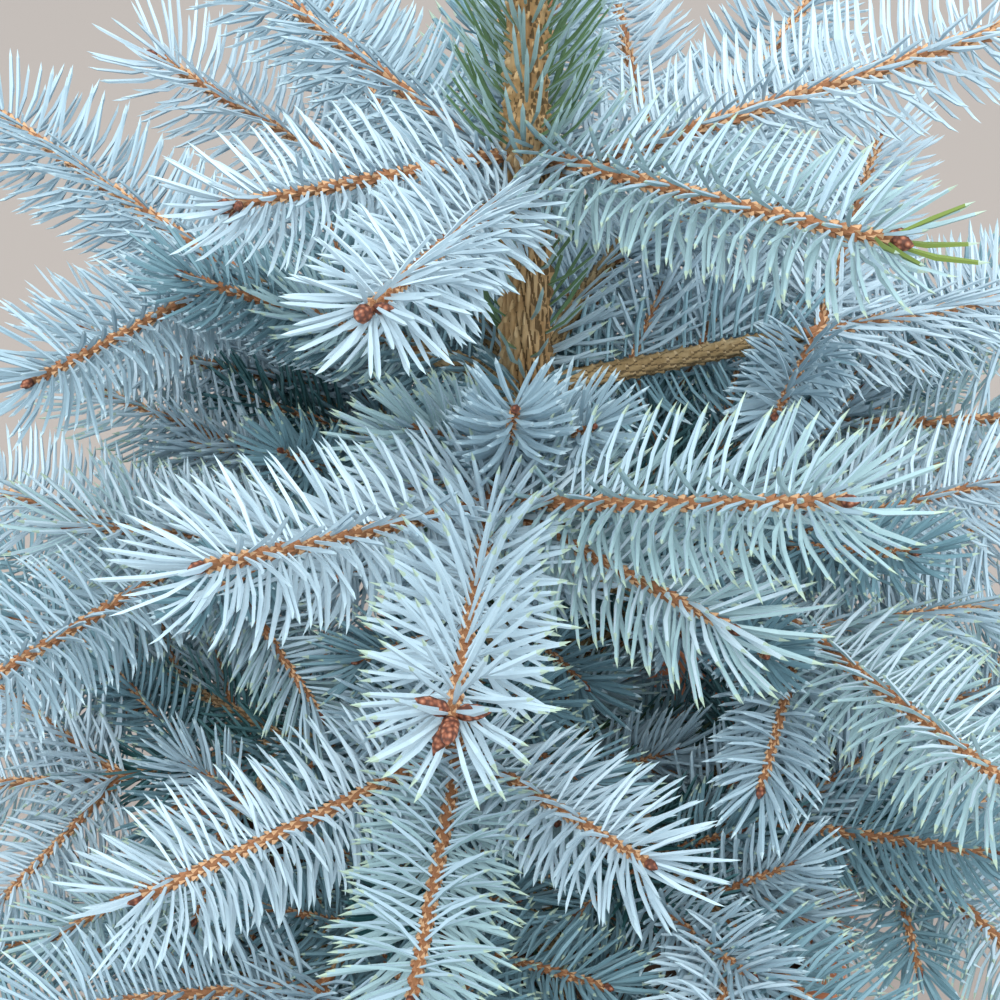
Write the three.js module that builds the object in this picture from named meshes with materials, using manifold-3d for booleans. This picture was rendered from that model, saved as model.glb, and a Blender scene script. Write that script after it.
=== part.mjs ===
// A young blue spruce in a plain clay pot. Millimetres, +Z up, and the side seen first faces -Y.
// The origin is the middle of the pot's flat underside.

import * as THREE from 'three';
import { mergeVertices } from 'three/addons/utils/BufferGeometryUtils.js';
import Module from 'manifold-3d';

const wasm = await Module();
wasm.setup();

// Pot and soil.
const POT_HEIGHT = 200;
const RIM_RADIUS = 115;
const RIM_BAND = 32;
const FOOT_RADIUS = 75;
const WALL = 10;
const FLOOR = 12;
const DRAIN_HOLES = 4;
const DRAIN_RADIUS = 6;
const DRAIN_CIRCLE = 36;
const DRAIN_SIDES = 12;
const SOIL_BELOW_RIM = 18;
const ROUND_SIDES = 30;
const SOIL_TOP = POT_HEIGHT - SOIL_BELOW_RIM;

// Space between pieces that touch on the plant.
const GAP = 0.3;

// Trunk: heights are above the soil.
const TRUNK_HEIGHT = 303;
const TRUNK_TOP_RADIUS = 5;
const TRUNK_FOOT_RADIUS = 9.8;
const ROOT_FLARE = 4;
const FLARE_HEIGHT = 9;
const LEADER_TIP = 408;
const TRUNK_SIDES = 12;

// Shoots and needles.
const SHOOT_RADIUS = 2.3;
const LEADER_RADIUS = 4.6;
const RADIUS_PER_YEAR = 0.7;
const NEEDLE = 20;
const NEEDLE_SWEEP = 34;
const NECK = 9;
const TIP_TUFT = 13;
const STAGGER = 4;
const TOOTH_STEP = 17;
const WIDE_TOOTH_STEP = 26;
const FULL_ROWS = [90, 195, 345];
const FLAT_ROWS = [5, 175];
const TRAIL_STEPS = 16;
const LIMB_SIDES = 6;

// The branching rule: angles in degrees, and side shoots as shares of their bough's own growth.
const FORK_ANGLE = 51;
const FORK_SWAY = 6;
const FORK_BEND = 10;
const RISE_GAIN = 3;
const RISE_SWAY = 5;
const LINE_SWAY = 4;
const LINE_LIFT = 2;
const SIDE_SHARE = 0.9;
const INNER_SHARE = 0.8;
const FORK_SHARE = 0.6;
const SHARE_SWAY = 0.1;

// Where a side shoot turns and shortens to keep clear of its neighbours.
const ROOM = 24;
const TRIES = 4;
const TURN = 12;
const SHORTEN = 0.12;

// The whorls, from the top down. A bough has its azimuth from the front, turning right, its rise
// and the length it grew each year. Some have their outermost shoots given, the tip's first, each
// as azimuth, rise and length, and some fork on one side only or not at all, -1 left and 1 right.
const WHORLS = [
  { level: 'top', height: 288, rise: 14, years: [94], boughs: [
    { azimuth: 51, rise: 9, years: [92] },
    { azimuth: -23, rise: 16, years: [90] },
    { azimuth: -66, rise: 4, years: [70] },
    { azimuth: -130, rise: 12, years: [98] },
    { azimuth: 172 },
    { azimuth: 101, rise: 12, years: [118] },
  ] },
  { level: 'upper', height: 221, rise: 15, years: [64, 84], boughs: [
    { azimuth: -8, rise: 19, years: [60, 87],
      shoots: [[-5, 16, 87], [-49, 21, 78], [63, 23, 84], [53, -1, 62]] },
    { azimuth: 99, rise: 7, years: [72, 88], shoots: [[121, -14, 88], [-22, 8, 44], [160, 12, 70]] },
    { azimuth: 147 },
    { azimuth: -155 },
    { azimuth: -107, rise: 13, years: [75, 92], shoots: [[-126, 11, 92], [-39, 5, 66]] },
  ] },
  { level: 'middle', height: 158, rise: 12, years: [36, 46, 80], boughs: [
    { azimuth: -13, rise: 7, years: [35, 33, 88], forks: [],
      shoots: [[-6, 14, 88], [42, 16, 66], [-55, 5, 86]] },
    { azimuth: 59, rise: 15, forks: [1], shoots: [[27, 19, 84], [112, -15, 76], [-18, -3, 50]] },
    { azimuth: 118 },
    { azimuth: 175 },
    { azimuth: -133 },
    { azimuth: -83, rise: 11, forks: [-1], shoots: [[-110, -2, 78], [-38, 9, 80], [42, -36, 54]] },
  ] },
  { level: 'lower', height: 100, rise: 6, years: [30, 38, 46, 76], boughs: [
    { azimuth: -24, forks: [1] },
    { azimuth: 27, rise: 15, stagger: 4, shoots: [[33, 13, 76], [-13, 18, 70]] },
    { azimuth: 60, rise: 10, forks: [1], stagger: -4, shoots: [[38, -4, 74], [104, 9, 62], [2, -2, 42]] },
    { azimuth: 125 },
    { azimuth: -155 },
    { azimuth: -72, rise: 2, stagger: 4, shoots: [[-84, 2, 70], [-32, 0, 52], [-122, 12, 64]] },
  ] },
  { level: 'bottom', height: 48, rise: 0, years: [26, 32, 38, 42, 66], boughs: [
    { azimuth: -48 },
    { azimuth: 8 },
    { azimuth: 92 },
    { azimuth: 160 },
    { azimuth: -115 },
  ] },
];

// Growth: directions, repeatable variation and curved shoots.
const sway = (seed, k) => {
  const x = Math.sin(seed * 12.9898 + k * 78.233) * 43758.5453;
  return 2 * (x - Math.floor(x)) - 1;
};

const heading = (azimuth, rise) => {
  const a = THREE.MathUtils.degToRad(azimuth);
  const r = THREE.MathUtils.degToRad(rise);
  return new THREE.Vector3(Math.cos(r) * Math.sin(a), -Math.cos(r) * Math.cos(a), Math.sin(r));
};

const trunkAxis = (height) =>
  new THREE.Vector3(1 - Math.cos(height / 70), 2 - 2 * Math.cos(height / 95), SOIL_TOP + height);

const trunkRadius = (height) =>
  THREE.MathUtils.lerp(TRUNK_FOOT_RADIUS, TRUNK_TOP_RADIUS, height / TRUNK_HEIGHT);

// A shoot's centre line: it bends sideways and lifts evenly along its length.
function trail({ start, azimuth, rise, bend = 0, lift = 0, length }) {
  const points = [start.clone()];
  for (let i = 0; i < TRAIL_STEPS; i += 1) {
    const t = (i + 0.5) / TRAIL_STEPS;
    const step = heading(azimuth + bend * t, rise + lift * t).multiplyScalar(length / TRAIL_STEPS);
    points.push(points[i].clone().add(step));
  }
  return points;
}

const crown = [];

function grow(bough, order, age, spec, isLimb = false) {
  const shoot = {
    bough,
    order,
    age,
    isLimb,
    points: trail(spec),
    azimuth: spec.azimuth + (spec.bend ?? 0),
    rise: spec.rise + (spec.lift ?? 0),
    length: spec.length,
  };
  crown.push(shoot);
  return shoot;
}

const nearest = (point, shoots) => {
  let best = Infinity;
  for (const shoot of shoots) {
    for (const other of shoot.points) best = Math.min(best, point.distanceToSquared(other));
  }
  return Math.sqrt(best);
};

// A side shoot turns towards its bough and grows shorter until it has room, or isn't grown.
function growWithRoom(bough, order, age, spec, side) {
  const others = crown.filter((shoot) => shoot.bough !== bough);
  for (let k = 0; k < TRIES; k += 1) {
    const tried = {
      ...spec,
      azimuth: spec.azimuth - side * TURN * k,
      length: spec.length * (1 - SHORTEN * k),
    };
    const points = trail(tried).slice(2);
    if (points.every((point) => nearest(point, others) >= ROOM)) return grow(bough, order, age, tried);
  }
  return null;
}

// Every bough's own line comes first, from the trunk to its tip.
function growMainLine(whorl, bough) {
  const years = bough.years ?? whorl.years;
  const limbYears = years.length === 1 ? 0 : Math.max(1, years.length - 2);
  const stagger = bough.seed % 2 ? STAGGER : -STAGGER;
  let start = trunkAxis(whorl.height + (bough.stagger ?? (bough.shoots ? 0 : stagger)));
  let azimuth = bough.azimuth;
  let rise = bough.rise ?? whorl.rise;
  bough.line = years.map((length, year) => {
    const given = year === years.length - 1 && bough.shoots ? bough.shoots[0] : [azimuth, rise, length];
    const bend = bough.shoots ? 0 : LINE_SWAY * sway(bough.seed, 10 + year);
    const lift = bough.shoots ? 0 : LINE_LIFT;
    const spec = { start, azimuth: given[0], rise: given[1], length: given[2], bend, lift };
    const shoot = grow(bough, 0, years.length - year, spec, year < limbYears);
    start = shoot.points.at(-1);
    azimuth = shoot.azimuth;
    rise = shoot.rise;
    return shoot;
  });
}

// Side shoots of the last year leave just beyond the bough's outermost node.
function growLastYear(bough) {
  const node = bough.line.at(-2);
  const start = bough.line.at(-1).points[1];
  if (bough.shoots) {
    bough.shoots.slice(1).forEach(([azimuth, rise, length]) => {
      growWithRoom(bough, 1, 1, { start, azimuth, rise, length, lift: RISE_GAIN }, 0);
    });
    return;
  }
  for (const side of [-1, 1]) {
    const spec = {
      start,
      azimuth: node.azimuth + side * (FORK_ANGLE + FORK_SWAY * sway(bough.seed, 20 + side)),
      rise: node.rise + RISE_GAIN + RISE_SWAY * sway(bough.seed, 30 + side),
      bend: -FORK_BEND * side,
      lift: RISE_GAIN,
      length: SIDE_SHARE * bough.line.at(-1).length * (1 + SHARE_SWAY * sway(bough.seed, 40 + side)),
    };
    growWithRoom(bough, 1, 1, spec, side);
  }
}

// Side branches of two years leave beyond the node before that, and fork once more.
function growTwoYears(bough) {
  const node = bough.line.at(-3);
  for (const side of bough.forks ?? [-1, 1]) {
    const first = growWithRoom(bough, 1, 2, {
      start: bough.line.at(-2).points[1],
      azimuth: node.azimuth + side * (FORK_ANGLE + FORK_SWAY * sway(bough.seed, 50 + side)),
      rise: node.rise + RISE_GAIN + RISE_SWAY * sway(bough.seed, 70 + side),
      bend: -FORK_BEND * side,
      lift: RISE_GAIN,
      length: INNER_SHARE * bough.line.at(-2).length,
    }, side);
    if (!first) continue;
    const outer = {
      start: first.points.at(-1),
      azimuth: first.azimuth,
      rise: first.rise,
      bend: -FORK_BEND * side,
      lift: RISE_GAIN,
      length: INNER_SHARE * bough.line.at(-1).length * (1 + SHARE_SWAY * sway(bough.seed, 60 + side)),
    };
    growWithRoom(bough, 1, 1, outer, side);
    const fork = {
      ...outer,
      azimuth: first.azimuth + FORK_ANGLE * side,
      length: FORK_SHARE * bough.line.at(-1).length,
    };
    growWithRoom(bough, 2, 1, fork, side);
  }
}

WHORLS.forEach((whorl) => whorl.boughs.forEach((bough, i) => {
  bough.name = `${whorl.level}_${i + 1}`;
}));
const BOUGHS = WHORLS.flatMap((whorl) => whorl.boughs);
BOUGHS.forEach((bough, i) => {
  bough.seed = i + 1;
});
WHORLS.forEach((whorl) => whorl.boughs.forEach((bough) => growMainLine(whorl, bough)));
BOUGHS.filter((bough) => bough.line.length > 1).forEach(growLastYear);
BOUGHS.filter((bough) => bough.line.length > 2).forEach(growTwoYears);

const LEADER = { name: 'leader', seed: 0 };
const LEADER_LENGTH = LEADER_TIP - TRUNK_HEIGHT;
const LEADER_SPEC = { start: trunkAxis(TRUNK_HEIGHT), azimuth: 0, rise: 90, length: LEADER_LENGTH };
LEADER.line = [grow(LEADER, 0, 1, LEADER_SPEC)];
LEADER.line[0].footRadius = LEADER_RADIUS;

// Solids: closed meshes given to manifold for joining and cutting, and back.
const solidOf = (vertices, triangles) =>
  new wasm.Manifold(new wasm.Mesh({
    numProp: 3,
    vertProperties: new Float32Array(vertices.flatMap((v) => v.toArray())),
    triVerts: new Uint32Array(triangles.flat()),
  }));

const solidOfGeometry = (geometry) => {
  geometry.deleteAttribute('normal');
  geometry.deleteAttribute('uv');
  const merged = mergeVertices(geometry, 1e-4);
  return new wasm.Manifold(new wasm.Mesh({
    numProp: 3,
    vertProperties: new Float32Array(merged.attributes.position.array),
    triVerts: new Uint32Array(merged.index.array),
  }));
};

const geometryOf = (solid) => {
  const mesh = solid.getMesh();
  const geometry = new THREE.BufferGeometry();
  geometry.setAttribute('position', new THREE.BufferAttribute(new Float32Array(mesh.vertProperties), 3));
  geometry.setIndex(new THREE.BufferAttribute(new Uint32Array(mesh.triVerts), 1));
  geometry.computeVertexNormals();
  return geometry;
};

// Side and up directions across a line of growth.
function across(tangent) {
  const reference = Math.abs(tangent.z) > 0.95 ? new THREE.Vector3(0, 1, 0) : new THREE.Vector3(0, 0, 1);
  const side = new THREE.Vector3().crossVectors(reference, tangent).normalize();
  const up = new THREE.Vector3().crossVectors(tangent, side).normalize();
  return { side, up };
}

const tangentAt = (points, i) =>
  points[Math.min(i + 1, points.length - 1)].clone().sub(points[Math.max(i - 1, 0)]).normalize();

const onRing = (centre, { side, up }, angle, radius) =>
  centre.clone()
    .addScaledVector(side, radius * Math.cos(angle))
    .addScaledVector(up, radius * Math.sin(angle));

// A tapering limb through its points, closed at both ends. The radius may vary round the ring.
function limbSolid(points, radiusAt, sides) {
  const vertices = [];
  points.forEach((point, i) => {
    const frame = across(tangentAt(points, i));
    for (let k = 0; k < sides; k += 1) {
      const angle = (2 * Math.PI * k) / sides;
      vertices.push(onRing(point, frame, angle, radiusAt(i, angle)));
    }
  });
  const triangles = [];
  const last = (points.length - 1) * sides;
  for (let k = 0; k < sides; k += 1) {
    const next = (k + 1) % sides;
    for (let ring = 0; ring < last; ring += sides) {
      triangles.push([ring + k, ring + next, ring + sides + next]);
      triangles.push([ring + k, ring + sides + next, ring + sides + k]);
    }
    if (k > 0 && k < sides - 1) triangles.push([0, k + 1, k], [last, last + k, last + k + 1]);
  }
  return solidOf(vertices, triangles);
}

// Where a needle may stand: nearer to its own shoot than to any other, and off the trunk.
function keepsOwnSpace(tip, shoot) {
  const height = tip.z - SOIL_TOP;
  if (height < TRUNK_HEIGHT && tip.distanceTo(trunkAxis(height)) < trunkRadius(height) + 2) return false;
  const others = crown.filter((other) => other !== shoot);
  return nearest(tip, others) > nearest(tip, [shoot]) + 1.5;
}

// A spray: a slim core with rows of broad teeth that point outwards and forwards.
function spraySolid(shoot, rowAngles, step) {
  const { points, length } = shoot;
  const count = Math.max(2, Math.round((length - NECK) / step));
  const at = (distance) => {
    const place = THREE.MathUtils.clamp(distance / length, 0, 1) * (points.length - 1);
    const i = Math.min(Math.floor(place), points.length - 2);
    return { centre: points[i].clone().lerp(points[i + 1], place - i), tangent: tangentAt(points, i) };
  };
  const rows = rowAngles.length;
  const angleOf = (row) => THREE.MathUtils.degToRad(rowAngles[row]);
  const between = (row) => {
    const next = row + 1 < rows ? rowAngles[row + 1] : rowAngles[0] + 360;
    return THREE.MathUtils.degToRad((rowAngles[row] + next) / 2);
  };
  const vertices = [];
  const triangles = [];
  const add = (vertex) => vertices.push(vertex) - 1;

  const radius = SHOOT_RADIUS + RADIUS_PER_YEAR * (shoot.age - 1);
  const radiusAt = (distance) => THREE.MathUtils.lerp(shoot.footRadius ?? radius, radius, distance / length);
  const ring = (distance, angle) => {
    const { centre, tangent } = at(distance);
    return add(onRing(centre, across(tangent), angle, radiusAt(distance)));
  };
  const rowIndices = [...Array(rows).keys()];
  const start = rowIndices.flatMap((row) => [ring(0, angleOf(row)), ring(0, between(row))]);
  const stretch = (length - NECK) / count;
  const notch = rowIndices.map((row) =>
    Array.from({ length: count + 1 }, (_, i) => ring(NECK + i * stretch, angleOf(row))));
  const core = rowIndices.map((row) =>
    Array.from({ length: count }, (_, i) => ring(NECK + (i + 0.5) * stretch, between(row))));
  const { centre: endCentre, tangent: endTangent } = at(length);
  const apex = add(endCentre.clone().addScaledVector(endTangent, TIP_TUFT));

  const sweep = THREE.MathUtils.degToRad(NEEDLE_SWEEP);
  const toothTip = (row, i) => {
    const { centre, tangent } = at(NECK + (i + 0.5) * stretch);
    const outward = onRing(new THREE.Vector3(), across(tangent), angleOf(row), Math.cos(sweep));
    const direction = outward.addScaledVector(tangent, Math.sin(sweep));
    let reach = NEEDLE * (1 + 0.12 * sway(shoot.bough.seed + row, i));
    let tip = centre.clone().addScaledVector(direction, reach);
    while (reach > 2 * radius && !keepsOwnSpace(tip, shoot)) {
      reach *= 0.85;
      tip = centre.clone().addScaledVector(direction, reach);
    }
    return add(tip);
  };

  for (const row of rowIndices) {
    const next = (row + 1) % rows;
    const before = (row + rows - 1) % rows;
    const [n, c, m] = [start[2 * row], start[2 * row + 1], start[2 * next]];
    triangles.push([n, c, core[row][0]], [n, core[row][0], notch[row][0]]);
    triangles.push([c, m, notch[next][0]], [c, notch[next][0], core[row][0]]);
    for (let i = 0; i < count; i += 1) {
      const tip = toothTip(row, i);
      triangles.push([notch[row][i], core[row][i], tip], [core[row][i], notch[row][i + 1], tip]);
      triangles.push([notch[row][i + 1], core[before][i], tip], [core[before][i], notch[row][i], tip]);
      if (i > 0) {
        triangles.push([notch[row][i], core[row][i - 1], core[row][i]]);
        triangles.push([notch[next][i], core[row][i], core[row][i - 1]]);
      }
    }
    triangles.push([core[row][count - 1], apex, notch[row][count]]);
    triangles.push([core[row][count - 1], notch[next][count], apex]);
  }
  for (let k = 1; k < 2 * rows - 1; k += 1) triangles.push([start[0], start[k + 1], start[k]]);
  return solidOf(vertices, triangles);
}

const largestOf = (solid) =>
  solid.decompose().reduce((best, piece) => (piece.volume() > best.volume() ? piece : best));

// Trunk, from its flat cut at the soil to just above the top whorl.
function trunkSolid(extra) {
  const heights = [0, 4, 10, 20, 80, 150, 225, TRUNK_HEIGHT];
  const points = heights.map(trunkAxis);
  points[0].z += GAP - extra;
  points.at(-1).z += extra;
  return limbSolid(points, (i, angle) => {
    const flare = ROOT_FLARE * Math.exp(-heights[i] / FLARE_HEIGHT) * (0.8 + 0.2 * Math.cos(5 * angle));
    return trunkRadius(heights[i]) + flare + extra;
  }, TRUNK_SIDES);
}

// The part of a bough that is old wood, through the middle and the end of each year's growth.
function boughSolid(bough, extra) {
  const limbs = bough.line.filter((shoot) => shoot.isLimb);
  const joints = limbs.flatMap((shoot) => [shoot.points[TRAIL_STEPS / 2], shoot.points[TRAIL_STEPS]]);
  const points = [limbs[0].points[0], ...joints].map((point) => point.clone());
  const age = bough.line.length;
  points.at(-1).addScaledVector(tangentAt(points, points.length - 1), extra);
  return limbSolid(points, (i) => SHOOT_RADIUS + RADIUS_PER_YEAR * (age - 1 - i / 2) + extra, LIMB_SIDES);
}

function foliageSolid(bough, cutters) {
  const isDense = bough.line.length < 3;
  const sprays = crown.filter((shoot) => shoot.bough === bough && !shoot.isLimb).map((shoot) => {
    const isFull = shoot.age === 1 && (isDense || shoot.order === 0);
    return spraySolid(shoot, isFull ? FULL_ROWS : FLAT_ROWS, isDense ? TOOTH_STEP : WIDE_TOOTH_STEP);
  });
  const joined = wasm.Manifold.union(sprays);
  const cut = cutters.reduce((solid, cutter) => solid.subtract(cutter), joined);
  return largestOf(cut.simplify(0.02));
}

// Pot: a turned clay shape with a collar at the rim and drain holes in its floor.
const turned = (profile) =>
  solidOfGeometry(new THREE.LatheGeometry(
    profile.map(([radius, height]) => new THREE.Vector2(radius, height)), ROUND_SIDES).rotateX(Math.PI / 2));

const INSIDE_TOP = RIM_RADIUS - WALL - 2;
const INSIDE_FOOT = FOOT_RADIUS - WALL + 3;
const insideRadius = (height) =>
  THREE.MathUtils.lerp(INSIDE_FOOT, INSIDE_TOP, (height - FLOOR) / (POT_HEIGHT - 2 - FLOOR));

function potSolid() {
  const shoulder = POT_HEIGHT - RIM_BAND;
  const body = turned([
    [0, 0], [FOOT_RADIUS - 3, 0], [FOOT_RADIUS, 3],
    [RIM_RADIUS - 12, shoulder], [RIM_RADIUS - 2, shoulder], [RIM_RADIUS, POT_HEIGHT - 3],
    [RIM_RADIUS - 2, POT_HEIGHT], [RIM_RADIUS - WALL, POT_HEIGHT], [INSIDE_TOP, POT_HEIGHT - 2],
    [INSIDE_FOOT, FLOOR], [0, FLOOR],
  ]);
  const holes = Array.from({ length: DRAIN_HOLES }, (_, i) => {
    const angle = (2 * Math.PI * (i + 0.5)) / DRAIN_HOLES;
    const drill = new THREE.CylinderGeometry(DRAIN_RADIUS, DRAIN_RADIUS, 3 * FLOOR, DRAIN_SIDES);
    drill.rotateX(Math.PI / 2);
    drill.translate(DRAIN_CIRCLE * Math.cos(angle), DRAIN_CIRCLE * Math.sin(angle), 0);
    return solidOfGeometry(drill);
  });
  return body.subtract(wasm.Manifold.union(holes));
}

const soilSolid = () =>
  turned([
    [0, FLOOR + GAP], [insideRadius(FLOOR) - GAP, FLOOR + GAP],
    [insideRadius(SOIL_TOP) - GAP, SOIL_TOP], [0, SOIL_TOP],
  ]);

// Materials.
const CLAY = new THREE.MeshStandardMaterial({ color: 0xb3664a, roughness: 0.9 });
const EARTH = new THREE.MeshStandardMaterial({ color: 0x43352a, roughness: 1 });
const BARK = new THREE.MeshStandardMaterial({ color: 0xa8845e, roughness: 0.9 });
const NEEDLES = new THREE.MeshStandardMaterial({ color: 0xa9c2cc, roughness: 0.55 });

const spruce = new THREE.Group();
const place = (name, solid, material) => {
  const mesh = new THREE.Mesh(geometryOf(solid), material);
  mesh.name = name;
  spruce.add(mesh);
};

place('pot', potSolid(), CLAY);
place('soil', soilSolid(), EARTH);
place('trunk', trunkSolid(0), BARK);

// Limbs and foliage are cut clear of the trunk, and foliage of the limb that carries it.
const trunkSpace = trunkSolid(GAP);
for (const bough of BOUGHS) {
  const hasLimb = bough.line[0].isLimb;
  if (hasLimb) place(`bough_${bough.name}`, largestOf(boughSolid(bough, 0).subtract(trunkSpace)), BARK);
  const cutters = hasLimb ? [trunkSpace, boughSolid(bough, GAP)] : [trunkSpace];
  place(`foliage_${bough.name}`, foliageSolid(bough, cutters), NEEDLES);
}
place('foliage_leader', foliageSolid(LEADER, [trunkSpace]), NEEDLES);

export default spruce;
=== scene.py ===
"""A young blue spruce in a plain clay pot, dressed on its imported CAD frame.

Lengths below are millimetres and angles degrees, unless a comment says metres. A mesh is in metres.
"""

import math

import bpy
import numpy as np
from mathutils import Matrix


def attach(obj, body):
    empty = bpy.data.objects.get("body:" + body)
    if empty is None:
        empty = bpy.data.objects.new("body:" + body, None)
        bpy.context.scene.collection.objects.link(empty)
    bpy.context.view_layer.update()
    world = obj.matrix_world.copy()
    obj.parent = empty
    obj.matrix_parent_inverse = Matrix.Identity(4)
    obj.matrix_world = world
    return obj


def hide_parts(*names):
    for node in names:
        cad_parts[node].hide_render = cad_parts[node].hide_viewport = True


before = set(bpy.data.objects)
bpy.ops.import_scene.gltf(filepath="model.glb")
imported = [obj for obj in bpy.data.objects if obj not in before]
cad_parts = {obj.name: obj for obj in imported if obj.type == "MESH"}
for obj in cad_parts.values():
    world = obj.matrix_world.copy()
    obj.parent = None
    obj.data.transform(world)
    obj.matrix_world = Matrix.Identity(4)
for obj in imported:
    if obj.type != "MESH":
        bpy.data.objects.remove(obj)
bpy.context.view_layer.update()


# Camera, floor and light
# The crown is seen close, from in front and 45 degrees above, so that the outer boughs leave the
# frame. A plain pale floor lies far below it, and soft daylight comes from above and in front. The
# floor's side and the lights' places and sides are in metres.
VIEW_TARGET = np.array([-4.4, 2.5, 364])
VIEW_DISTANCE = 470
VIEW_PITCH = math.radians(45)
VIEW_ANGLE = math.radians(32)
FLOOR_SIDE = 6.0
FLOOR_COLOUR = (0.28, 0.25, 0.23, 1)
SKY_COLOUR = (0.93, 0.97, 1.0, 1)
SKY_STRENGTH = 1.58
KEY_PLACE = (-0.1, -0.8, 2.1)
KEY_SIDE = 1.0
KEY_POWER = 38
KEY_COLOUR = (1.0, 0.98, 0.94)
FILL_PLACE = (1.2, -0.9, 1.1)
FILL_SIDE = 1.4
FILL_POWER = 6
LIGHT_AIM = (0, 0, 0.4)

camera_data = bpy.data.cameras.new("camera")
camera_data.sensor_width = 36
camera_data.lens = camera_data.sensor_width / 2 / math.tan(VIEW_ANGLE / 2)
camera_data.clip_start = 0.01
camera = bpy.data.objects.new("camera", camera_data)
view_back = np.array([0, -math.cos(VIEW_PITCH), math.sin(VIEW_PITCH)])
camera.location = (VIEW_TARGET + VIEW_DISTANCE * view_back) / 1000
camera.rotation_euler = (math.pi / 2 - VIEW_PITCH, 0, 0)
bpy.context.scene.collection.objects.link(camera)
bpy.context.scene.camera = camera


def plain(name, colour, roughness, specular=0.3):
    """A material of one colour."""
    material = bpy.data.materials.new(name)
    material.use_nodes = True
    shader = material.node_tree.nodes["Principled BSDF"]
    shader.inputs["Base Color"].default_value = colour
    shader.inputs["Roughness"].default_value = roughness
    shader.inputs["Specular IOR Level"].default_value = specular
    return material


floor_mesh = bpy.data.meshes.new("floor")
half = FLOOR_SIDE / 2
floor_corners = [(-half, -half, 0), (half, -half, 0), (half, half, 0), (-half, half, 0)]
floor_mesh.from_pydata(floor_corners, [], [(0, 1, 2, 3)])
floor_mesh.materials.append(plain("pale floor", FLOOR_COLOUR, 0.9, 0.5))
floor = bpy.data.objects.new("floor", floor_mesh)
bpy.context.scene.collection.objects.link(floor)

sky = bpy.data.worlds.new("sky")
sky.use_nodes = True
sky.node_tree.nodes["Background"].inputs["Color"].default_value = SKY_COLOUR
sky.node_tree.nodes["Background"].inputs["Strength"].default_value = SKY_STRENGTH
bpy.context.scene.world = sky
bpy.context.scene.view_settings.view_transform = "Standard"


def soft_light(name, place, aim, side, power, colour):
    """A square area light of the given side in metres, turned from its place towards the aim."""
    data = bpy.data.lights.new(name, "AREA")
    data.size = side
    data.energy = power
    data.color = colour
    light = bpy.data.objects.new(name, data)
    light.location = place
    direction = np.array(aim) - np.array(place)
    flat = math.hypot(direction[0], direction[1])
    light.rotation_euler = (math.atan2(flat, -direction[2]), 0, math.atan2(-direction[0], direction[1]))
    bpy.context.scene.collection.objects.link(light)


soft_light("key", KEY_PLACE, LIGHT_AIM, KEY_SIDE, KEY_POWER, KEY_COLOUR)
soft_light("fill", FILL_PLACE, LIGHT_AIM, FILL_SIDE, FILL_POWER, SKY_COLOUR[:3])


# Pot
# A plain flower pot of unglazed red clay, thrown with a thick collar at its rim, and fired. Its
# floor has four drain holes, and the clay shows faint throwing lines and pale lime bloom.
POT_HEIGHT = 200
FOOT_RADIUS = 75
BODY_RADIUS = 103
COLLAR_HEIGHT = 32
COLLAR_RADIUS = 114
RIM_RADIUS = 115
MOUTH_RADIUS = 104
FLOOR = 12
FLOOR_RADIUS = 68
CLAY_ROUNDING = 3
THROWING_DEPTH = 0.25
THROWING_RATE = 0.9
FOOT_MARGIN = 2
DRAIN_RADIUS = 6
DRAIN_CIRCLE = 36
DRAIN_SIDES = 24
POT_SIDES = 160
POT_STEP = 4
CLAY_DEEP = (0.38, 0.13, 0.06, 1)
CLAY_PALE = (0.56, 0.23, 0.12, 1)
CLAY_BLOOM = (0.66, 0.42, 0.31, 1)


def new_piece(name, vertices, corners, totals, materials, slots=None, smooth=True):
    """A mesh object from arrays: vertices in mm, all faces' corners in a row, corners per face."""
    mesh = bpy.data.meshes.new(name)
    mesh.vertices.add(len(vertices))
    mesh.vertices.foreach_set("co", (np.asarray(vertices, dtype=np.float64) / 1000).ravel())
    mesh.loops.add(len(corners))
    mesh.loops.foreach_set("vertex_index", np.asarray(corners, dtype=np.int32))
    mesh.polygons.add(len(totals))
    starts = np.concatenate([[0], np.cumsum(totals)[:-1]])
    mesh.polygons.foreach_set("loop_start", starts.astype(np.int32))
    mesh.polygons.foreach_set("loop_total", np.asarray(totals, dtype=np.int32))
    mesh.polygons.foreach_set("use_smooth", np.full(len(totals), smooth))
    for material in materials:
        mesh.materials.append(material)
    if slots is not None:
        mesh.polygons.foreach_set("material_index", np.asarray(slots, dtype=np.int32))
    mesh.update(calc_edges=True)
    mesh.validate()
    piece = bpy.data.objects.new(name, mesh)
    bpy.context.scene.collection.objects.link(piece)
    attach(piece, "root")
    return piece


def tube_faces(count, rings, sides):
    """Faces of closed tubes, each laid out as its rings and then a start and an end pole.

    Quads join each ring to the next one, and a fan of triangles joins each end ring to its pole.
    """
    ring, side = np.meshgrid(np.arange(rings - 1), np.arange(sides), indexing="ij")
    here = ring * sides + side
    beside = ring * sides + (side + 1) % sides
    quads = np.stack([here, beside, beside + sides, here + sides], axis=-1).reshape(-1)
    k = np.arange(sides)
    after = (k + 1) % sides
    last = (rings - 1) * sides
    start_fan = np.stack([np.full(sides, rings * sides), after, k], axis=-1).reshape(-1)
    end_fan = np.stack([np.full(sides, rings * sides + 1), last + k, last + after], axis=-1).reshape(-1)
    corners = np.concatenate([quads, start_fan, end_fan])
    totals = np.concatenate([np.full(len(quads) // 4, 4), np.full(2 * sides, 3)])
    offsets = (rings * sides + 2) * np.arange(count)[:, None]
    return (corners[None] + offsets).reshape(-1), np.tile(totals, count)


def rings_round(centres, side, up, radius, angle):
    """Rings of points round the centres: centre + radius (cos a side + sin a up) at each angle a."""
    a = angle[:, None]
    around = np.cos(a) * side[..., None, :] + np.sin(a) * up[..., None, :]
    return centres[..., None, :] + radius[..., None] * around


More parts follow.
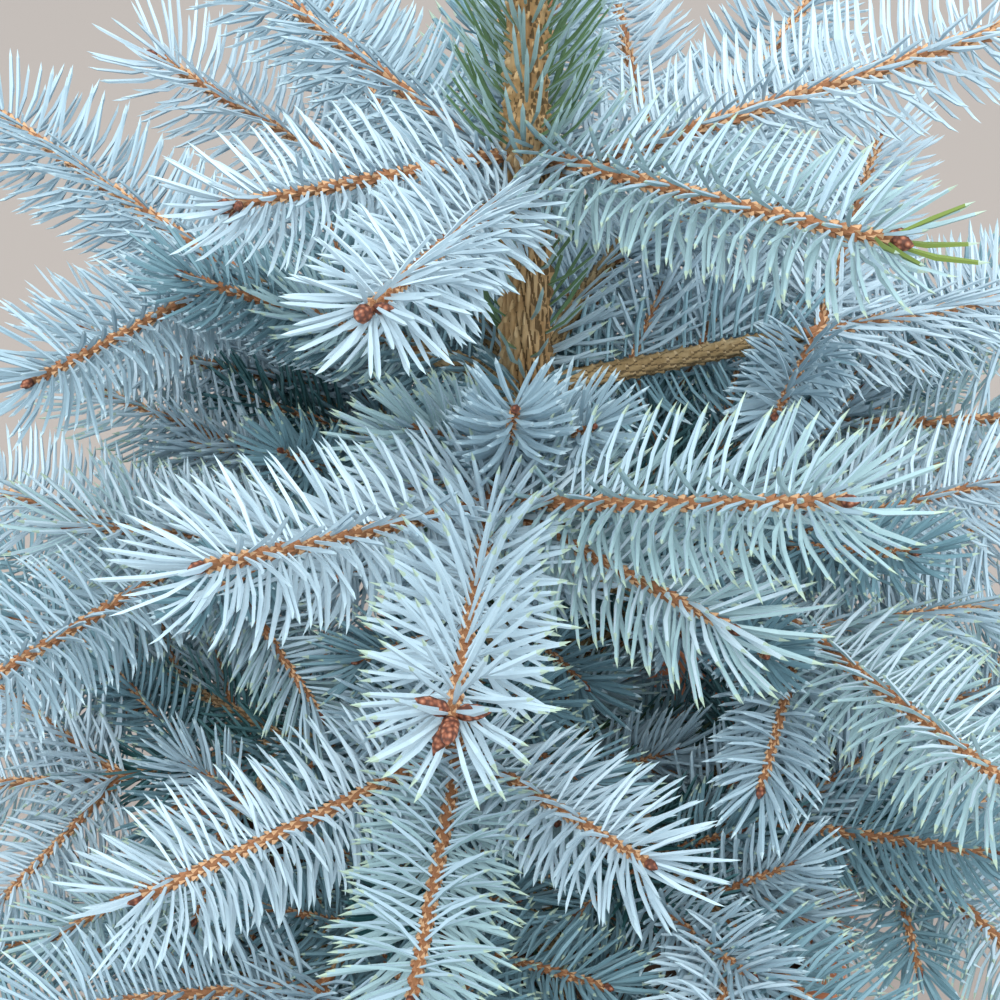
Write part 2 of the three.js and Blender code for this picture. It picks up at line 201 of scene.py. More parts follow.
def turned(name, radii, heights, materials, wobble=None):
    """A turned shape: profile point (r, h) at angle a goes to (r cos a, r sin a, h).

    The first and last profile points lie on the axis, and wobble is added to the heights.
    """
    angle = 2 * math.pi * np.arange(POT_SIDES) / POT_SIDES
    radius = np.asarray(radii, dtype=float)[1:-1, None]
    height = np.asarray(heights, dtype=float)[1:-1, None] + np.zeros(POT_SIDES)
    if wobble is not None:
        height = height + wobble(radius * np.cos(angle), radius * np.sin(angle), height)
    grid = np.stack([radius * np.cos(angle), radius * np.sin(angle), height], axis=-1)
    poles = np.array([[0, 0, heights[0]], [0, 0, heights[-1]]])
    corners, totals = tube_faces(1, len(radius), POT_SIDES)
    return new_piece(name, np.concatenate([grid.reshape(-1, 3), poles]), corners, totals, materials)


def rounded(points, rounding, steps=4):
    """A profile with its corners rounded: each is a quadratic curve between points set back from it.

    They are set back by the rounding, or by just under half of a side that is too short for it.
    """
    points = np.asarray(points, dtype=float)
    smooth = [points[0]]
    for before, corner, after in zip(points[:-2], points[1:-1], points[2:]):
        back = (before - corner) / np.linalg.norm(before - corner)
        ahead = (after - corner) / np.linalg.norm(after - corner)
        reach = min(rounding, np.linalg.norm(before - corner) / 2.1, np.linalg.norm(after - corner) / 2.1)
        t = np.linspace(0, 1, steps)[:, None]
        first, last = corner + reach * back, corner + reach * ahead
        smooth.extend((1 - t) ** 2 * first + 2 * t * (1 - t) * corner + t**2 * last)
    smooth.append(points[-1])
    return np.array(smooth)


def subdivided(profile, spacing):
    """The same profile with extra points, so that none are further apart than the spacing."""
    pieces = []
    for a, b in zip(profile[:-1], profile[1:]):
        count = max(1, int(np.linalg.norm(b - a) / spacing))
        pieces.append(a + (b - a) * np.arange(count)[:, None] / count)
    return np.concatenate(pieces + [profile[-1:]])


def patterned(name, stops, colour_pattern, bump_pattern, bump, roughness, specular=0.5, stretch=(1, 1, 1)):
    """A material in Object coordinates: one pattern picks its colour and another raises its surface.

    The stops are (place, colour) along the first pattern's values. A pattern is a texture and its
    inputs, and bump is its strength, below 0 where high values sink, and its depth in metres.
    """
    material = plain(name, stops[0][1], roughness, specular)
    nodes = material.node_tree.nodes
    links = material.node_tree.links
    shader = nodes["Principled BSDF"]
    place = nodes.new("ShaderNodeTexCoord")
    mapping = nodes.new("ShaderNodeMapping")
    mapping.inputs["Scale"].default_value = stretch
    links.new(place.outputs["Object"], mapping.inputs["Vector"])
    values = []
    for texture, inputs in (colour_pattern, bump_pattern):
        pattern = nodes.new(f"ShaderNodeTex{texture}")
        for key, value in inputs.items():
            pattern.inputs[key].default_value = value
        links.new(mapping.outputs["Vector"], pattern.inputs["Vector"])
        values.append(pattern.outputs["Fac" if texture == "Noise" else "Distance"])
    ramp = nodes.new("ShaderNodeValToRGB")
    elements = ramp.color_ramp.elements
    elements[0].position, elements[0].color = stops[0]
    elements[1].position, elements[1].color = stops[-1]
    for position, colour in stops[1:-1]:
        elements.new(position).color = colour
    raised = nodes.new("ShaderNodeBump")
    raised.inputs["Strength"].default_value = abs(bump[0])
    raised.inputs["Distance"].default_value = bump[1]
    raised.invert = bump[0] < 0
    links.new(values[0], ramp.inputs["Fac"])
    links.new(ramp.outputs["Color"], shader.inputs["Base Color"])
    links.new(values[1], raised.inputs["Height"])
    links.new(raised.outputs["Normal"], shader.inputs["Normal"])
    return material


# Fired clay has broad warm patches, pale ones where lime has bloomed, and a fine grain.
fired_clay = patterned(
    "fired clay", [(0.3, CLAY_DEEP), (0.62, CLAY_PALE), (0.8, CLAY_BLOOM)],
    ("Noise", {"Scale": 14, "Detail": 8, "Roughness": 0.6}), ("Noise", {"Scale": 420, "Detail": 4}),
    bump=(0.35, 0.0006), roughness=0.88)
collar_foot = POT_HEIGHT - COLLAR_HEIGHT
pot_profile = subdivided(rounded([
    (0, 0), (FOOT_RADIUS, 0), (BODY_RADIUS, collar_foot), (COLLAR_RADIUS, collar_foot),
    (RIM_RADIUS, POT_HEIGHT), (MOUTH_RADIUS, POT_HEIGHT), (FLOOR_RADIUS, FLOOR), (0, FLOOR),
], CLAY_ROUNDING), POT_STEP)
is_wall = pot_profile[:, 0] > FOOT_RADIUS + FOOT_MARGIN
throwing = THROWING_DEPTH * np.sin(pot_profile[:, 1] * THROWING_RATE) * is_wall
pot = turned("clay_pot", pot_profile[:, 0] - np.abs(throwing), pot_profile[:, 1], [fired_clay])

# The drain holes are cut by four round drills that stand through the floor.
drain_angle = math.pi / 4 + math.pi / 2 * np.arange(4)[:, None]
drill_ends = np.stack(np.broadcast_arrays(
    DRAIN_CIRCLE * np.cos(drain_angle), DRAIN_CIRCLE * np.sin(drain_angle), [-FLOOR, 2 * FLOOR]), axis=-1)
drill_angle = 2 * math.pi * np.arange(DRAIN_SIDES) / DRAIN_SIDES
drill_radius = np.full((4, 2, 1), DRAIN_RADIUS)
drill_grid = rings_round(drill_ends, np.array([1, 0, 0]), np.array([0, 1, 0]), drill_radius, drill_angle)
drill_points = np.concatenate([drill_grid.reshape(4, -1, 3), drill_ends], axis=1).reshape(-1, 3)
drills = new_piece("drills", drill_points, *tube_faces(4, 2, DRAIN_SIDES), [], smooth=False)
cut = pot.modifiers.new("drain holes", "BOOLEAN")
cut.object = drills
cut.solver = "EXACT"
pot.data = bpy.data.meshes.new_from_object(pot.evaluated_get(bpy.context.evaluated_depsgraph_get()))
pot.modifiers.clear()
bpy.data.objects.remove(drills)
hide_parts("pot")


# Soil
# Dark potting soil fills the pot to 18 mm below its rim. Its top is lumpy, and small crumbs and chips
# of bark lie on it.
SOIL_TOP = 182
SOIL_GAP = 0.4
LUMPS = 1.3
LUMP_WAVES = 26
LUMP_LENGTHS = (7, 34)
LUMP_MARGIN = 6
LUMP_DEPTH = 2
SOIL_STEP = 1.8
SOIL_FALL = 1
SOIL_FALL_WIDTH = 5
SOIL_WALL = 6
CRUMBS = 1500
CRUMB_SIZE = (3.0, 0.42)
CRUMB_STRETCH = (0.6, 1.3)
CRUMB_FREE = 15
CRUMB_MARGIN = 7
CRUMB_COLOUR = (0.045, 0.03, 0.021, 1)
CHIPS = 130
CHIP_SIZE = (7, 3, 0.9)
CHIP_SIZES = (0.5, 1.2)
CHIP_STRETCH = (0.7, 1.3)
CHIP_TILT = 0.2
SOIL_COLOUR = (0.028, 0.018, 0.012, 1)
SOIL_PALE = (0.09, 0.06, 0.042, 1)
CHIP_COLOURS = [(0.16, 0.075, 0.038, 1), (0.24, 0.14, 0.08, 1), (0.07, 0.04, 0.025, 1)]

draw = np.random.default_rng(11)
wave_angle = draw.uniform(0, 2 * math.pi, LUMP_WAVES)
wave_length = draw.uniform(*LUMP_LENGTHS, LUMP_WAVES)
wave_phase = draw.uniform(0, 2 * math.pi, LUMP_WAVES)


def lump_height(x, y):
    """The soil's rise at (x, y): a sum of sine waves in many directions, higher where longer."""
    along_wave = np.multiply.outer(x, np.cos(wave_angle)) + np.multiply.outer(y, np.sin(wave_angle))
    waves = np.sin(2 * math.pi * (along_wave / wave_length) + wave_phase) * wave_length / wave_length.mean()
    return LUMPS * waves.sum(axis=-1) / math.sqrt(LUMP_WAVES / 2)


def inside_radius(height):
    """The pot's inner radius at a height, from its floor up to just below the rim."""
    share = (height - FLOOR) / (POT_HEIGHT - FLOOR)
    return FLOOR_RADIUS + (MOUTH_RADIUS - FLOOR_RADIUS) * share - SOIL_GAP


# Damp soil is near black with patches of dry brown, and crumbly.
potting_soil = patterned(
    "potting soil", [(0.38, SOIL_COLOUR), (0.72, SOIL_PALE)], ("Noise", {"Scale": 90, "Detail": 6}),
    ("Voronoi", {"Scale": 520}), bump=(0.6, 0.0012), roughness=0.95, specular=0.2)
soil_edge = inside_radius(SOIL_TOP)
soil_profile = subdivided(np.array([
    [0, FLOOR + SOIL_GAP], [inside_radius(FLOOR), FLOOR + SOIL_GAP],
    [inside_radius(SOIL_TOP - SOIL_WALL), SOIL_TOP - SOIL_WALL], [soil_edge, SOIL_TOP - SOIL_FALL],
    [soil_edge - SOIL_FALL_WIDTH, SOIL_TOP], [0, SOIL_TOP],
], dtype=float), SOIL_STEP)


def soil_wobble(x, y, height):
    """Lumps on the top only, fading out over the margin before the pot's wall."""
    top = np.clip((height - (SOIL_TOP - LUMP_DEPTH)) / LUMP_DEPTH, 0, 1)
    return top * lump_height(x, y) * np.clip((soil_edge - np.hypot(x, y)) / LUMP_MARGIN, 0, 1)


soil = turned("soil_top", soil_profile[:, 0], soil_profile[:, 1], [potting_soil], soil_wobble)
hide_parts("soil")

# Crumbs are rough octahedra, and chips are flattened ones. Both are turned by three times their place's
# angle and tilted by the sine of seven times that angle. A crumb's size follows a gamma distribution
# with the shape and scale given.
OCTAHEDRON = np.array([[1, 0, 0], [0, 1, 0], [-1, 0, 0], [0, -1, 0], [0, 0, 1], [0, 0, -1]], dtype=float)
OCTAHEDRON_FACES = np.array([
    [0, 1, 4], [1, 2, 4], [2, 3, 4], [3, 0, 4], [1, 0, 5], [2, 1, 5], [3, 2, 5], [0, 3, 5],
])


def scattered(count, spread):
    """Points on the soil, evenly at random from beside the trunk out to the spread, and their angles."""
    radius = np.sqrt(draw.uniform((CRUMB_FREE / spread) ** 2, 1, count)) * spread
    angle = draw.uniform(0, 2 * math.pi, count)
    x, y = radius * np.cos(angle), radius * np.sin(angle)
    return np.stack([x, y, SOIL_TOP + lump_height(x, y)], axis=-1), angle


crumb_place, crumb_turn = scattered(CRUMBS + CHIPS, soil_edge - CRUMB_MARGIN)
crumb_size = draw.gamma(*CRUMB_SIZE, CRUMBS + CHIPS)[:, None, None]
crumb_shape = OCTAHEDRON[None] * crumb_size * draw.uniform(*CRUMB_STRETCH, (CRUMBS + CHIPS, 6, 1))
chip_size = draw.uniform(*CHIP_SIZES, (CHIPS, 1, 1)) * np.array(CHIP_SIZE)
crumb_shape[CRUMBS:] = OCTAHEDRON[None] * chip_size * draw.uniform(*CHIP_STRETCH, (CHIPS, 6, 1))
cos_turn, sin_turn = np.cos(3 * crumb_turn)[:, None], np.sin(3 * crumb_turn)[:, None]
crumb_points = np.stack([
    crumb_shape[..., 0] * cos_turn - crumb_shape[..., 1] * sin_turn,
    crumb_shape[..., 0] * sin_turn + crumb_shape[..., 1] * cos_turn,
    crumb_shape[..., 2] + CHIP_TILT * crumb_shape[..., 0] * np.sin(7 * crumb_turn)[:, None],
], axis=-1) + crumb_place[:, None]
crumb_corners = (OCTAHEDRON_FACES[None] + 6 * np.arange(CRUMBS + CHIPS)[:, None, None]).reshape(-1)
crumb_slots = np.repeat(np.concatenate([np.zeros(CRUMBS, int), draw.integers(1, 4, CHIPS)]), 8)
crumb_materials = [plain("soil crumb", CRUMB_COLOUR, 0.95)]
crumb_materials += [plain(f"bark chip {i}", colour, 0.85) for i, colour in enumerate(CHIP_COLOURS)]
crumbs = new_piece("soil_crumbs", crumb_points.reshape(-1, 3), crumb_corners,
                   np.full(len(crumb_corners) // 3, 3), crumb_materials, crumb_slots, smooth=False)
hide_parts("soil")


# Trunk
# The five whorls of boughs stand a year's growth apart on it, and it tapers to the leader. Its ochre
# bark still shows the leaf cushions: long diamonds in two crossing spirals, each with a knob. The
# rise is the height from one cushion to the next in golden-angle order.
TRUNK_HEIGHT = 303
TRUNK_TOP_RADIUS = 5
TRUNK_FOOT_RADIUS = 9.8
TRUNK_SINK = 3
ROOT_FLARE = 4
FLARE_HEIGHT = 9
ROOTS = 5
ROOT_WAVE = (0.8, 0.2)
TRUNK_SIDES = 120
TRUNK_STEP = 0.75
TRUNK_RISE = 0.55
TRUNK_RELIEF = (1.2, 1.2)
GROOVE_SLOPE = 5
GROOVE_EDGE = 0.55
KNOB_PLACE = 0.55
KNOB_TIGHTNESS = (30, 24)
KNOB_EDGE = 0.35
GOLDEN_ANGLE = 137.50776
UPRIGHT = 0.95
TRUNK_SPIRALS = (13, 21)


def trunk_axis(height):
    """The trunk's slightly bowed centre line: (1 - cos(h/70), 2 - 2 cos(h/95), soil + h)."""
    height = np.asarray(height, dtype=float)
    return np.stack([1 - np.cos(height / 70), 2 - 2 * np.cos(height / 95), SOIL_TOP + height], axis=-1)


def trunk_radius(height):
    """An even taper from foot to top."""
    return TRUNK_FOOT_RADIUS + (TRUNK_TOP_RADIUS - TRUNK_FOOT_RADIUS) * np.asarray(height) / TRUNK_HEIGHT


def unit(vectors):
    """The same directions with length 1."""
    return vectors / np.linalg.norm(vectors, axis=-1, keepdims=True)


def across(tangents):
    """Side and up directions at right angles to the tangents. Upright ones take +Y as reference."""
    upright = np.abs(tangents[..., 2:]) > UPRIGHT
    reference = np.where(upright, [0.0, 1.0, 0.0], [0.0, 0.0, 1.0])
    side = unit(np.cross(reference, tangents))
    return side, unit(np.cross(tangents, side))


def cushions(angle, distance, rise, spirals):
    """Leaf cushions in golden-angle order, from 0 in the grooves to 1 on the ridges, and their knobs.

    A cushion's middle is a whole number in each of two spiral counts m and n:
    a = n angle/360 - distance t_n/(360 rise) and b = -m angle/360 + distance t_m/(360 rise), where t
    is the turn that m or n steps of the golden angle leave. Grooves run halfway between, and a knob is
    a bell curve beyond the middle.
    """
    m, n = spirals
    turn_m = (m * GOLDEN_ANGLE + 180) % 360 - 180
    turn_n = (n * GOLDEN_ANGLE + 180) % 360 - 180
    handed = math.copysign(1, turn_m * n - m * turn_n)
    a = handed * (n * angle - distance * turn_n / rise) / 360
    b = handed * (-m * angle + distance * turn_m / rise) / 360
    a, b = a - np.round(a), b - np.round(b)
    slope = np.clip((0.5 - np.maximum(np.abs(a), np.abs(b))) * GROOVE_SLOPE, 0, 1)
    knob = np.exp(-((a + b - KNOB_PLACE) ** 2) * KNOB_TIGHTNESS[0] - (a - b) ** 2 * KNOB_TIGHTNESS[1])
    return np.sin(math.pi / 2 * slope), knob


def stem(name, materials, centres, radii, sides, relief, rise, spirals, flare=0):
    """A tapering stem: ring i at centre i, its radius varied round it by the leaf cushions.

    Each face takes one of the materials: 0 in the grooves, 1 on the ridges, 2 on the knobs.
    """
    tangents = unit(np.gradient(centres, axis=0))
    side, up = across(tangents)
    angle = 360 * np.arange(sides) / sides
    steps = np.linalg.norm(np.diff(centres, axis=0), axis=1)
    distance = np.concatenate([[0], np.cumsum(steps)])
    ridge, knob = cushions(angle[None], distance[:, None], rise, spirals)
    radius = radii[:, None] + relief[0] * (ridge - 1) + relief[1] * knob + flare
    grid = rings_round(centres, side, up, radius, np.radians(angle))
    poles = np.stack([centres[0], centres[-1]])
    corners, totals = tube_faces(1, len(centres), sides)
    slots = np.where(knob > KNOB_EDGE, 2, np.where(ridge > GROOVE_EDGE, 1, 0))[:-1].reshape(-1)
    slots = np.concatenate([slots, np.ones(2 * sides, int)])
    return new_piece(name, np.concatenate([grid.reshape(-1, 3), poles]), corners, totals, materials, slots)


def barks(stem_name, scale, groove, ridge, knob):
    """Fibrous bark, patchy along the grain, for the grooves, ridges and knobs of the leaf cushions.

    Each has its own deep, middle and pale colour. The grooves' colours are darker, painted shade, and
    the knobs' paler, painted highlight.
    """
    return [patterned(f"{stem_name} {part}", list(zip((0.3, 0.48, 0.7), colours)),
                      ("Noise", {"Scale": scale, "Detail": 7, "Roughness": 0.62}),
                      ("Noise", {"Scale": 900, "Detail": 3}), bump=(0.5, 0.0003), roughness=0.82,
                      specular=0.25, stretch=(1, 1, 0.35))
            for part, colours in (("groove", groove), ("ridge", ridge), ("knob", knob))]


# Trunk and leader bark: painted shade in the grooves, painted highlight on the knobs.
trunk_barks = barks("trunk", 160,
                    [(0.07, 0.045, 0.022, 1), (0.13, 0.085, 0.04, 1), (0.22, 0.14, 0.07, 1)],
                    [(0.22, 0.125, 0.055, 1), (0.37, 0.23, 0.105, 1), (0.5, 0.36, 0.2, 1)],
                    [(0.36, 0.23, 0.11, 1), (0.5, 0.35, 0.18, 1), (0.6, 0.46, 0.28, 1)])
trunk_heights = np.arange(-TRUNK_SINK, TRUNK_HEIGHT + TRUNK_STEP, TRUNK_STEP)
root_angle = 2 * math.pi * np.arange(TRUNK_SIDES) / TRUNK_SIDES
root_flare = (ROOT_FLARE * np.exp(-np.maximum(trunk_heights, 0) / FLARE_HEIGHT)[:, None]
              * (ROOT_WAVE[0] + ROOT_WAVE[1] * np.cos(ROOTS * root_angle)))
trunk = stem("trunk_bark", trunk_barks, trunk_axis(trunk_heights), trunk_radius(trunk_heights),
             TRUNK_SIDES, TRUNK_RELIEF, TRUNK_RISE, TRUNK_SPIRALS, root_flare)
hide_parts("trunk")


# Boughs
# Each whorl's boughs are brown limbs that taper outwards, with the old leaf cushions in their bark.
# They follow the rule by which the whole crown branches, year by year from the trunk outwards.
LEADER_TIP = 408
SHOOT_RADIUS = 2.3
RADIUS_PER_YEAR = 0.7
STAGGER = 4
TRAIL_STEPS = 16
FORK_ANGLE = 51
FORK_SWAY = 6
FORK_BEND = 10
RISE_GAIN = 3
RISE_SWAY = 5
LINE_SWAY = 4
LINE_LIFT = 2
SIDE_SHARE = 0.9
INNER_SHARE = 0.8
FORK_SHARE = 0.6
SHARE_SWAY = 0.1
ROOM = 24
TRIES = 4
TURN = 12
SHORTEN = 0.12
LIMB_SIDES = 48
LIMB_STEP = 0.8
LIMB_RELIEF = (0.7, 0.9)
LIMB_RISE = 0.5
LIMB_SPIRALS = (5, 8)
LIMB_THINNER = 0.15
LIMB_COLLAR = (1.1, 1.6)
# Lengths are of each year's growth from the trunk outwards. What a bough gives takes the place of its
# whorl's value. Its shoots of the last year are azimuth, rise and length, and its forks are the sides,
# -1 for left and 1 for right, on which a branch of two years leaves.
WHORLS = [
    {"level": "top", "height": 288, "rise": 14, "years": [94], "boughs": [
        {"azimuth": 51, "rise": 9, "years": [92]},
        {"azimuth": -23, "rise": 16, "years": [90]},
        {"azimuth": -66, "rise": 4, "years": [70]},
        {"azimuth": -130, "rise": 12, "years": [98]},
        {"azimuth": 172},
        {"azimuth": 101, "rise": 12, "years": [118]},
    ]},
    {"level": "upper", "height": 221, "rise": 15, "years": [64, 84], "boughs": [
        {"azimuth": -8, "rise": 19, "years": [60, 87],
         "shoots": [(-5, 16, 87), (-49, 21, 78), (63, 23, 84), (53, -1, 62)]},
        {"azimuth": 99, "rise": 7, "years": [72, 88],
         "shoots": [(121, -14, 88), (-22, 8, 44), (160, 12, 70)]},
        {"azimuth": 147},
        {"azimuth": -155},
        {"azimuth": -107, "rise": 13, "years": [75, 92], "shoots": [(-126, 11, 92), (-39, 5, 66)]},
    ]},
    {"level": "middle", "height": 158, "rise": 12, "years": [36, 46, 80], "boughs": [
        {"azimuth": -13, "rise": 7, "years": [35, 33, 88], "forks": [],
         "shoots": [(-6, 14, 88), (42, 16, 66), (-55, 5, 86)]},
        {"azimuth": 59, "rise": 15, "forks": [1], "shoots": [(27, 19, 84), (112, -15, 76), (-18, -3, 50)]},
        {"azimuth": 118},
        {"azimuth": 175},
        {"azimuth": -133},
        {"azimuth": -83, "rise": 11, "forks": [-1],
         "shoots": [(-110, -2, 78), (-38, 9, 80), (42, -36, 54)]},
    ]},
    {"level": "lower", "height": 100, "rise": 6, "years": [30, 38, 46, 76], "boughs": [
        {"azimuth": -24, "forks": [1]},
        {"azimuth": 27, "rise": 15, "stagger": 4, "shoots": [(33, 13, 76), (-13, 18, 70)]},
        {"azimuth": 60, "rise": 10, "forks": [1], "stagger": -4,
         "shoots": [(38, -4, 74), (104, 9, 62), (2, -2, 42)]},
        {"azimuth": 125},
        {"azimuth": -155},
        {"azimuth": -72, "rise": 2, "stagger": 4, "shoots": [(-84, 2, 70), (-32, 0, 52), (-122, 12, 64)]},
    ]},
    {"level": "bottom", "height": 48, "rise": 0, "years": [26, 32, 38, 42, 66], "boughs": [
        {"azimuth": -48},
        {"azimuth": 8},
        {"azimuth": 92},
        {"azimuth": 160},
        {"azimuth": -115},
    ]},
]


def sway(seed, k):
    """Repeatable variation from -1 to 1: the fraction of a large multiple of a sine."""
    x = math.sin(seed * 12.9898 + k * 78.233) * 43758.5453
    return 2 * (x - math.floor(x)) - 1


def heading(azimuth, rise):
    """The direction (cos r sin a, -cos r cos a, sin r): a turns right from the front, r rises."""
    a, r = np.radians(azimuth), np.radians(rise)
    return np.stack([np.cos(r) * np.sin(a), -np.cos(r) * np.cos(a), np.sin(r)], axis=-1)


def trail(spec):
    """A shoot's centre line: equal steps whose azimuth and rise change evenly along the length."""
    t = (np.arange(TRAIL_STEPS) + 0.5) / TRAIL_STEPS
    steps = heading(spec["azimuth"] + spec.get("bend", 0) * t, spec["rise"] + spec.get("lift", 0) * t)
    steps = steps * spec["length"] / TRAIL_STEPS
    return np.concatenate([spec["start"][None], spec["start"] + np.cumsum(steps, axis=0)])


crown = []


def grow(bough, order, age, spec, is_limb=False, kind="shoot"):
    """A shoot is added to the crown, with the direction that it ends in."""
    shoot = {
        "bough": bough, "order": order, "age": age, "is_limb": is_limb, "kind": kind, "points": trail(spec),
        "azimuth": spec["azimuth"] + spec.get("bend", 0), "rise": spec["rise"] + spec.get("lift", 0),
        "length": spec["length"], "seed": bough["seed"] + 0.37 * len(crown),
    }
    crown.append(shoot)
    return shoot


def grow_with_room(bough, order, age, spec, side):
    """A side shoot turns towards its bough and grows shorter until it is clear of other boughs."""
    others = np.concatenate([shoot["points"] for shoot in crown if shoot["bough"] is not bough])
    for k in range(TRIES):
        tried = {**spec, "azimuth": spec["azimuth"] - side * TURN * k,
                 "length": spec["length"] * (1 - SHORTEN * k)}
        apart = np.linalg.norm(trail(tried)[2:, None] - others[None], axis=-1)
        if apart.min() >= ROOM:
            return grow(bough, order, age, tried)
    return None


def grow_main_line(whorl, bough):
    """A bough's own line, one shoot a year from the trunk to its tip."""
    years = bough.get("years", whorl["years"])
    limb_years = 0 if len(years) == 1 else max(1, len(years) - 2)
    given = bough.get("shoots")
    stagger = STAGGER if bough["seed"] % 2 else -STAGGER
    start = trunk_axis(whorl["height"] + bough.get("stagger", 0 if given else stagger))
    azimuth = bough["azimuth"]
    rise = bough.get("rise", whorl["rise"])
    bough["line"] = []
    for year, length in enumerate(years):
        outermost = given and year == len(years) - 1
        a, r, size = given[0] if outermost else (azimuth, rise, length)
        spec = {"start": start, "azimuth": a, "rise": r, "length": size,
                "bend": 0 if given else LINE_SWAY * sway(bough["seed"], 10 + year),
                "lift": 0 if given else LINE_LIFT}
        shoot = grow(bough, 0, len(years) - year, spec, year < limb_years)
        start, azimuth, rise = shoot["points"][-1], shoot["azimuth"], shoot["rise"]
        bough["line"].append(shoot)


def forked(node, start, side, length, seed, turn_key, rise_key):
    """Where a side shoot grows: turned off its node's line by the fork angle, and bent back to it."""
    return {
        "start": start,
        "azimuth": node["azimuth"] + side * (FORK_ANGLE + FORK_SWAY * sway(seed, turn_key + side)),
        "rise": node["rise"] + RISE_GAIN + RISE_SWAY * sway(seed, rise_key + side),
        "bend": -FORK_BEND * side,
        "lift": RISE_GAIN,
        "length": length,
    }


def grow_last_year(bough):
    """Side shoots of the last year leave just beyond the bough's outermost node."""
    node, tip, seed = bough["line"][-2], bough["line"][-1], bough["seed"]
    start = tip["points"][1]
    if "shoots" in bough:
        for azimuth, rise, length in bough["shoots"][1:]:
            spec = {"start": start, "azimuth": azimuth, "rise": rise, "length": length, "lift": RISE_GAIN}
            grow_with_room(bough, 1, 1, spec, 0)
        return
    for side in (-1, 1):
        length = SIDE_SHARE * tip["length"] * (1 + SHARE_SWAY * sway(seed, 40 + side))
        grow_with_room(bough, 1, 1, forked(node, start, side, length, seed, 20, 30), side)


def grow_two_years(bough):
    """Side branches of two years leave beyond the node before that, and fork once more."""
    node, second, tip, seed = bough["line"][-3], bough["line"][-2], bough["line"][-1], bough["seed"]
    for side in bough.get("forks", (-1, 1)):
        spec = forked(node, second["points"][1], side, INNER_SHARE * second["length"], seed, 50, 70)
        first = grow_with_room(bough, 1, 2, spec, side)
        if first is None:
            continue
        outer = {**spec, "start": first["points"][-1], "azimuth": first["azimuth"], "rise": first["rise"],
                 "length": INNER_SHARE * tip["length"] * (1 + SHARE_SWAY * sway(seed, 60 + side))}
        grow_with_room(bough, 1, 1, outer, side)
        grow_with_room(bough, 2, 1, {**outer, "azimuth": first["azimuth"] + FORK_ANGLE * side,
                                     "length": FORK_SHARE * tip["length"]}, side)


boughs = []
for whorl in WHORLS:
    for number, bough in enumerate(whorl["boughs"], 1):
        bough.update(level=whorl["level"], name=f"{whorl['level']}_{number}", seed=len(boughs) + 1)
        boughs.append(bough)
        grow_main_line(whorl, bough)
for bough in boughs:
    if len(bough["line"]) > 1:
        grow_last_year(bough)
for bough in boughs:
    if len(bough["line"]) > 2:
        grow_two_years(bough)
leader = {"seed": 0, "level": "top", "name": "leader"}
leader_spec = {"start": trunk_axis(TRUNK_HEIGHT), "azimuth": 0, "rise": 90,
               "length": LEADER_TIP - TRUNK_HEIGHT}
leader["line"] = [grow(leader, 0, 1, leader_spec, kind="leader")]

# Limb bark: painted shade in the grooves, painted highlight on the knobs.
limb_barks = barks("limb", 210,
                   [(0.05, 0.035, 0.018, 1), (0.1, 0.07, 0.035, 1), (0.16, 0.11, 0.06, 1)],
                   [(0.15, 0.1, 0.045, 1), (0.26, 0.185, 0.09, 1), (0.36, 0.28, 0.16, 1)],
                   [(0.26, 0.18, 0.09, 1), (0.37, 0.28, 0.16, 1), (0.46, 0.37, 0.23, 1)])
for bough in boughs:
    limbs = [shoot for shoot in bough["line"] if shoot["is_limb"]]
    if not limbs:
        continue
    knots = np.concatenate([limbs[0]["points"][:1]] + [limb["points"][1:] for limb in limbs])
    years = len(bough["line"])
    rings = max(2, int(sum(limb["length"] for limb in limbs) / LIMB_STEP))
    place = np.linspace(0, len(knots) - 1, rings)
    centres = np.stack([np.interp(place, np.arange(len(knots)), knots[:, k]) for k in range(3)], axis=-1)
    radii = SHOOT_RADIUS + RADIUS_PER_YEAR * (years - 1 - place / TRAIL_STEPS) - LIMB_THINNER
    radii = radii + LIMB_COLLAR[0] * np.exp(-place / LIMB_COLLAR[1])
    limb = stem(f"limb_{bough['name']}", limb_barks, centres, radii, LIMB_SIDES, LIMB_RELIEF, LIMB_RISE,
                LIMB_SPIRALS)
    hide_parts(f"bough_{bough['name']}")


# Leader
# The trunk's newest shoot stands straight up from the top whorl, in the same ochre bark, with
# narrower leaf cushions that end in a knob under every needle. Its foot sleeves the trunk's top.
LEADER_RADIUS = (4.9, 2.3)
LEADER_OVERLAP = 13
LEADER_SIDES = 56
LEADER_STEP = 0.5
LEADER_RELIEF = (0.8, 1.1)
LEADER_RISE = 0.5
LEADER_SPIRALS = (8, 13)
LEADER_SLEEVE = 0.45

leader_heights = np.arange(TRUNK_HEIGHT - LEADER_OVERLAP, LEADER_TIP, LEADER_STEP)
leader_share = np.clip((leader_heights - TRUNK_HEIGHT) / (LEADER_TIP - TRUNK_HEIGHT), 0, 1)
leader_line = leader["line"][0]["points"]
leader_upright = leader_line[0] + leader_share[:, None] * (leader_line[-1] - leader_line[0])
leader_centres = np.where(leader_share[:, None] > 0, leader_upright, trunk_axis(leader_heights))
leader_radii = LEADER_RADIUS[0] + (LEADER_RADIUS[1] - LEADER_RADIUS[0]) * leader_share
leader_radii = leader_radii + LEADER_SLEEVE * (leader_share == 0)
leader_bark = stem("leader_bark", trunk_barks, leader_centres, leader_radii, LEADER_SIDES, LEADER_RELIEF,
                   LEADER_RISE, LEADER_SPIRALS)
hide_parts("foliage_leader")


